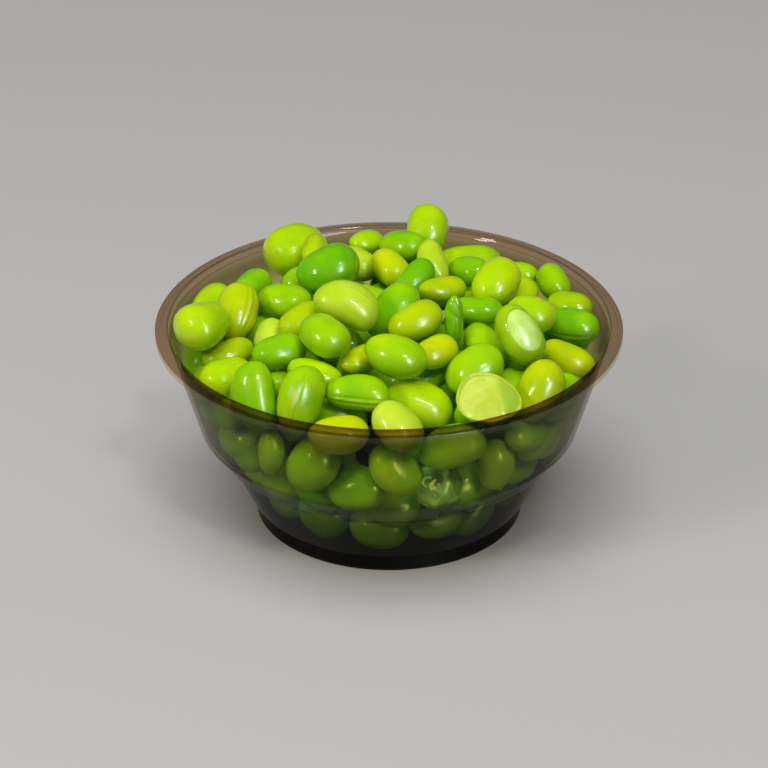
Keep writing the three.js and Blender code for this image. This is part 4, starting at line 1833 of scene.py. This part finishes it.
@dataclass
class Studio:
    """A pale table, soft light from above and the right, and small lamps that sparkle on wet skin."""

    distance: float = 0.7
    elevation: float = 27.35
    look_at: Triple = (0.0, 0.0, 0.0372)
    top: float = 0.0512
    lens: float = 134.57
    shift: tuple[float, float] = (-0.0065, -0.018)
    surroundings: tuple[float, float] = (0.12, 0.06)

    def build_camera(self) -> None:
        """Set up the camera that looks down on the bowl from the front."""
        data = bpy.data.cameras.new("view")
        data.lens = self.lens
        data.sensor_width = 36
        data.shift_x, data.shift_y = self.shift
        data.clip_start, data.clip_end = 0.05, 20
        camera = bpy.data.objects.new("view", data)
        angle = math.radians(self.elevation)
        camera.location = (
            0,
            -self.distance * math.cos(angle),
            self.top + self.distance * math.sin(angle),
        )
        camera.rotation_euler = (Vector(self.look_at) - camera.location).to_track_quat("-Z", "Y").to_euler()
        bpy.context.scene.collection.objects.link(camera)
        bpy.context.scene.camera = camera

    def build_floor(self) -> None:
        """Lay the table."""
        deselect_all()
        bpy.ops.mesh.primitive_plane_add(size=8)
        floor = bpy.context.object
        floor.name = "table"
        floor.data.materials.append(Tabletop().build())

    def lamp(self, name: str, way: Triple, distance: float, size: tuple[float, float],
             power: float, colour: str, mirrored: bool = True, lighting: bool = True) -> None:
        """Hang a square lamp that faces the bowl.

        Args:
            name: Its name.
            way: The direction that it stands in from the bowl.
            distance: How far away, in metres.
            size: Width and height, in metres.
            power: In watts.
            colour: Its colour.
            mirrored: Whether glossy things show its reflection.
            lighting: Whether it lights things, besides its reflection.
        """
        data = bpy.data.lights.new(name, "AREA")
        data.shape = "RECTANGLE"
        data.size, data.size_y = size
        data.energy = power
        data.color = linear(colour)[:3]
        lamp = bpy.data.objects.new(name, data)
        lamp.location = Vector(self.look_at) + distance * Vector(way).normalized()
        lamp.rotation_euler = (Vector(self.look_at) - lamp.location).to_track_quat("-Z", "Y").to_euler()
        lamp.visible_glossy = mirrored
        lamp.visible_diffuse = lighting
        bpy.context.scene.collection.objects.link(lamp)

    def build_lights(self) -> None:
        """Hang the lamps and set the plain pale surroundings."""
        self.lamp("ceiling_softbox", (-0.05, -0.2, 1.0), 2.0, (1.6, 1.6), 38, "fdfeff", mirrored=False)
        self.lamp("window", (0.48, -0.78, 0.4), 1.0, (0.22, 0.45), 4.5, "eef6ff", lighting=False)
        self.lamp("window_glow", (0.48, -0.78, 0.4), 1.01, (0.42, 0.75), 3.5, "eef6ff", lighting=False)
        self.lamp("window_haze", (0.48, -0.78, 0.4), 1.02, (0.7, 1.1), 2.4, "eef6ff", lighting=False)
        self.lamp("spot_left_high", (-0.7, -0.42, 0.57), 1.0, (0.13, 0.13), 2.2, "fff0d8")
        self.lamp("spot_left_low", (-0.7, -0.54, 0.46), 1.0, (0.1, 0.1), 1.2, "fff0d8")
        self.lamp("spot_top", (0.27, -0.55, 0.79), 1.0, (0.13, 0.13), 2.2, "fff0d8")
        world = bpy.data.worlds.new("studio")
        world.use_nodes = True
        tree = world.node_tree
        back = tree.nodes["Background"]
        back.inputs["Color"].default_value = linear("eeeeee")
        glossy = add_node(tree, "ShaderNodeLightPath").outputs["Is Glossy Ray"]
        tree.links.new(map_range(tree, glossy, 0.0, 1.0, *self.surroundings), back.inputs["Strength"])
        bpy.context.scene.world = world

    def build(self) -> None:
        """Set up table, camera and light."""
        self.build_floor()
        self.build_camera()
        self.build_lights()
        view = bpy.context.scene.view_settings
        view.view_transform = "Standard"
        view.look = "None"


def main() -> None:
    """Build the bowl, its beans and the studio."""
    logging.basicConfig(level=logging.INFO, format="%(name)s: %(message)s")
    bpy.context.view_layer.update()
    slots = {part["node"]: part["material_slot"] for part in frame["record"]["subparts"]}
    finishes = {finish.name: finish.value.build() for finish in Finish}
    bowl = Bowl()
    shell = bowl.build()
    bowl.dress(shell)
    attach(shell, "root")
    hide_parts("bowl")
    LOG.info("bowl_shell: %d faces", len(shell.data.polygons))
    Heap(bowl, BeanSorter(), frame["nodes"], slots, finishes).build()
    Studio().build()


if __name__ == "__main__":
    main()
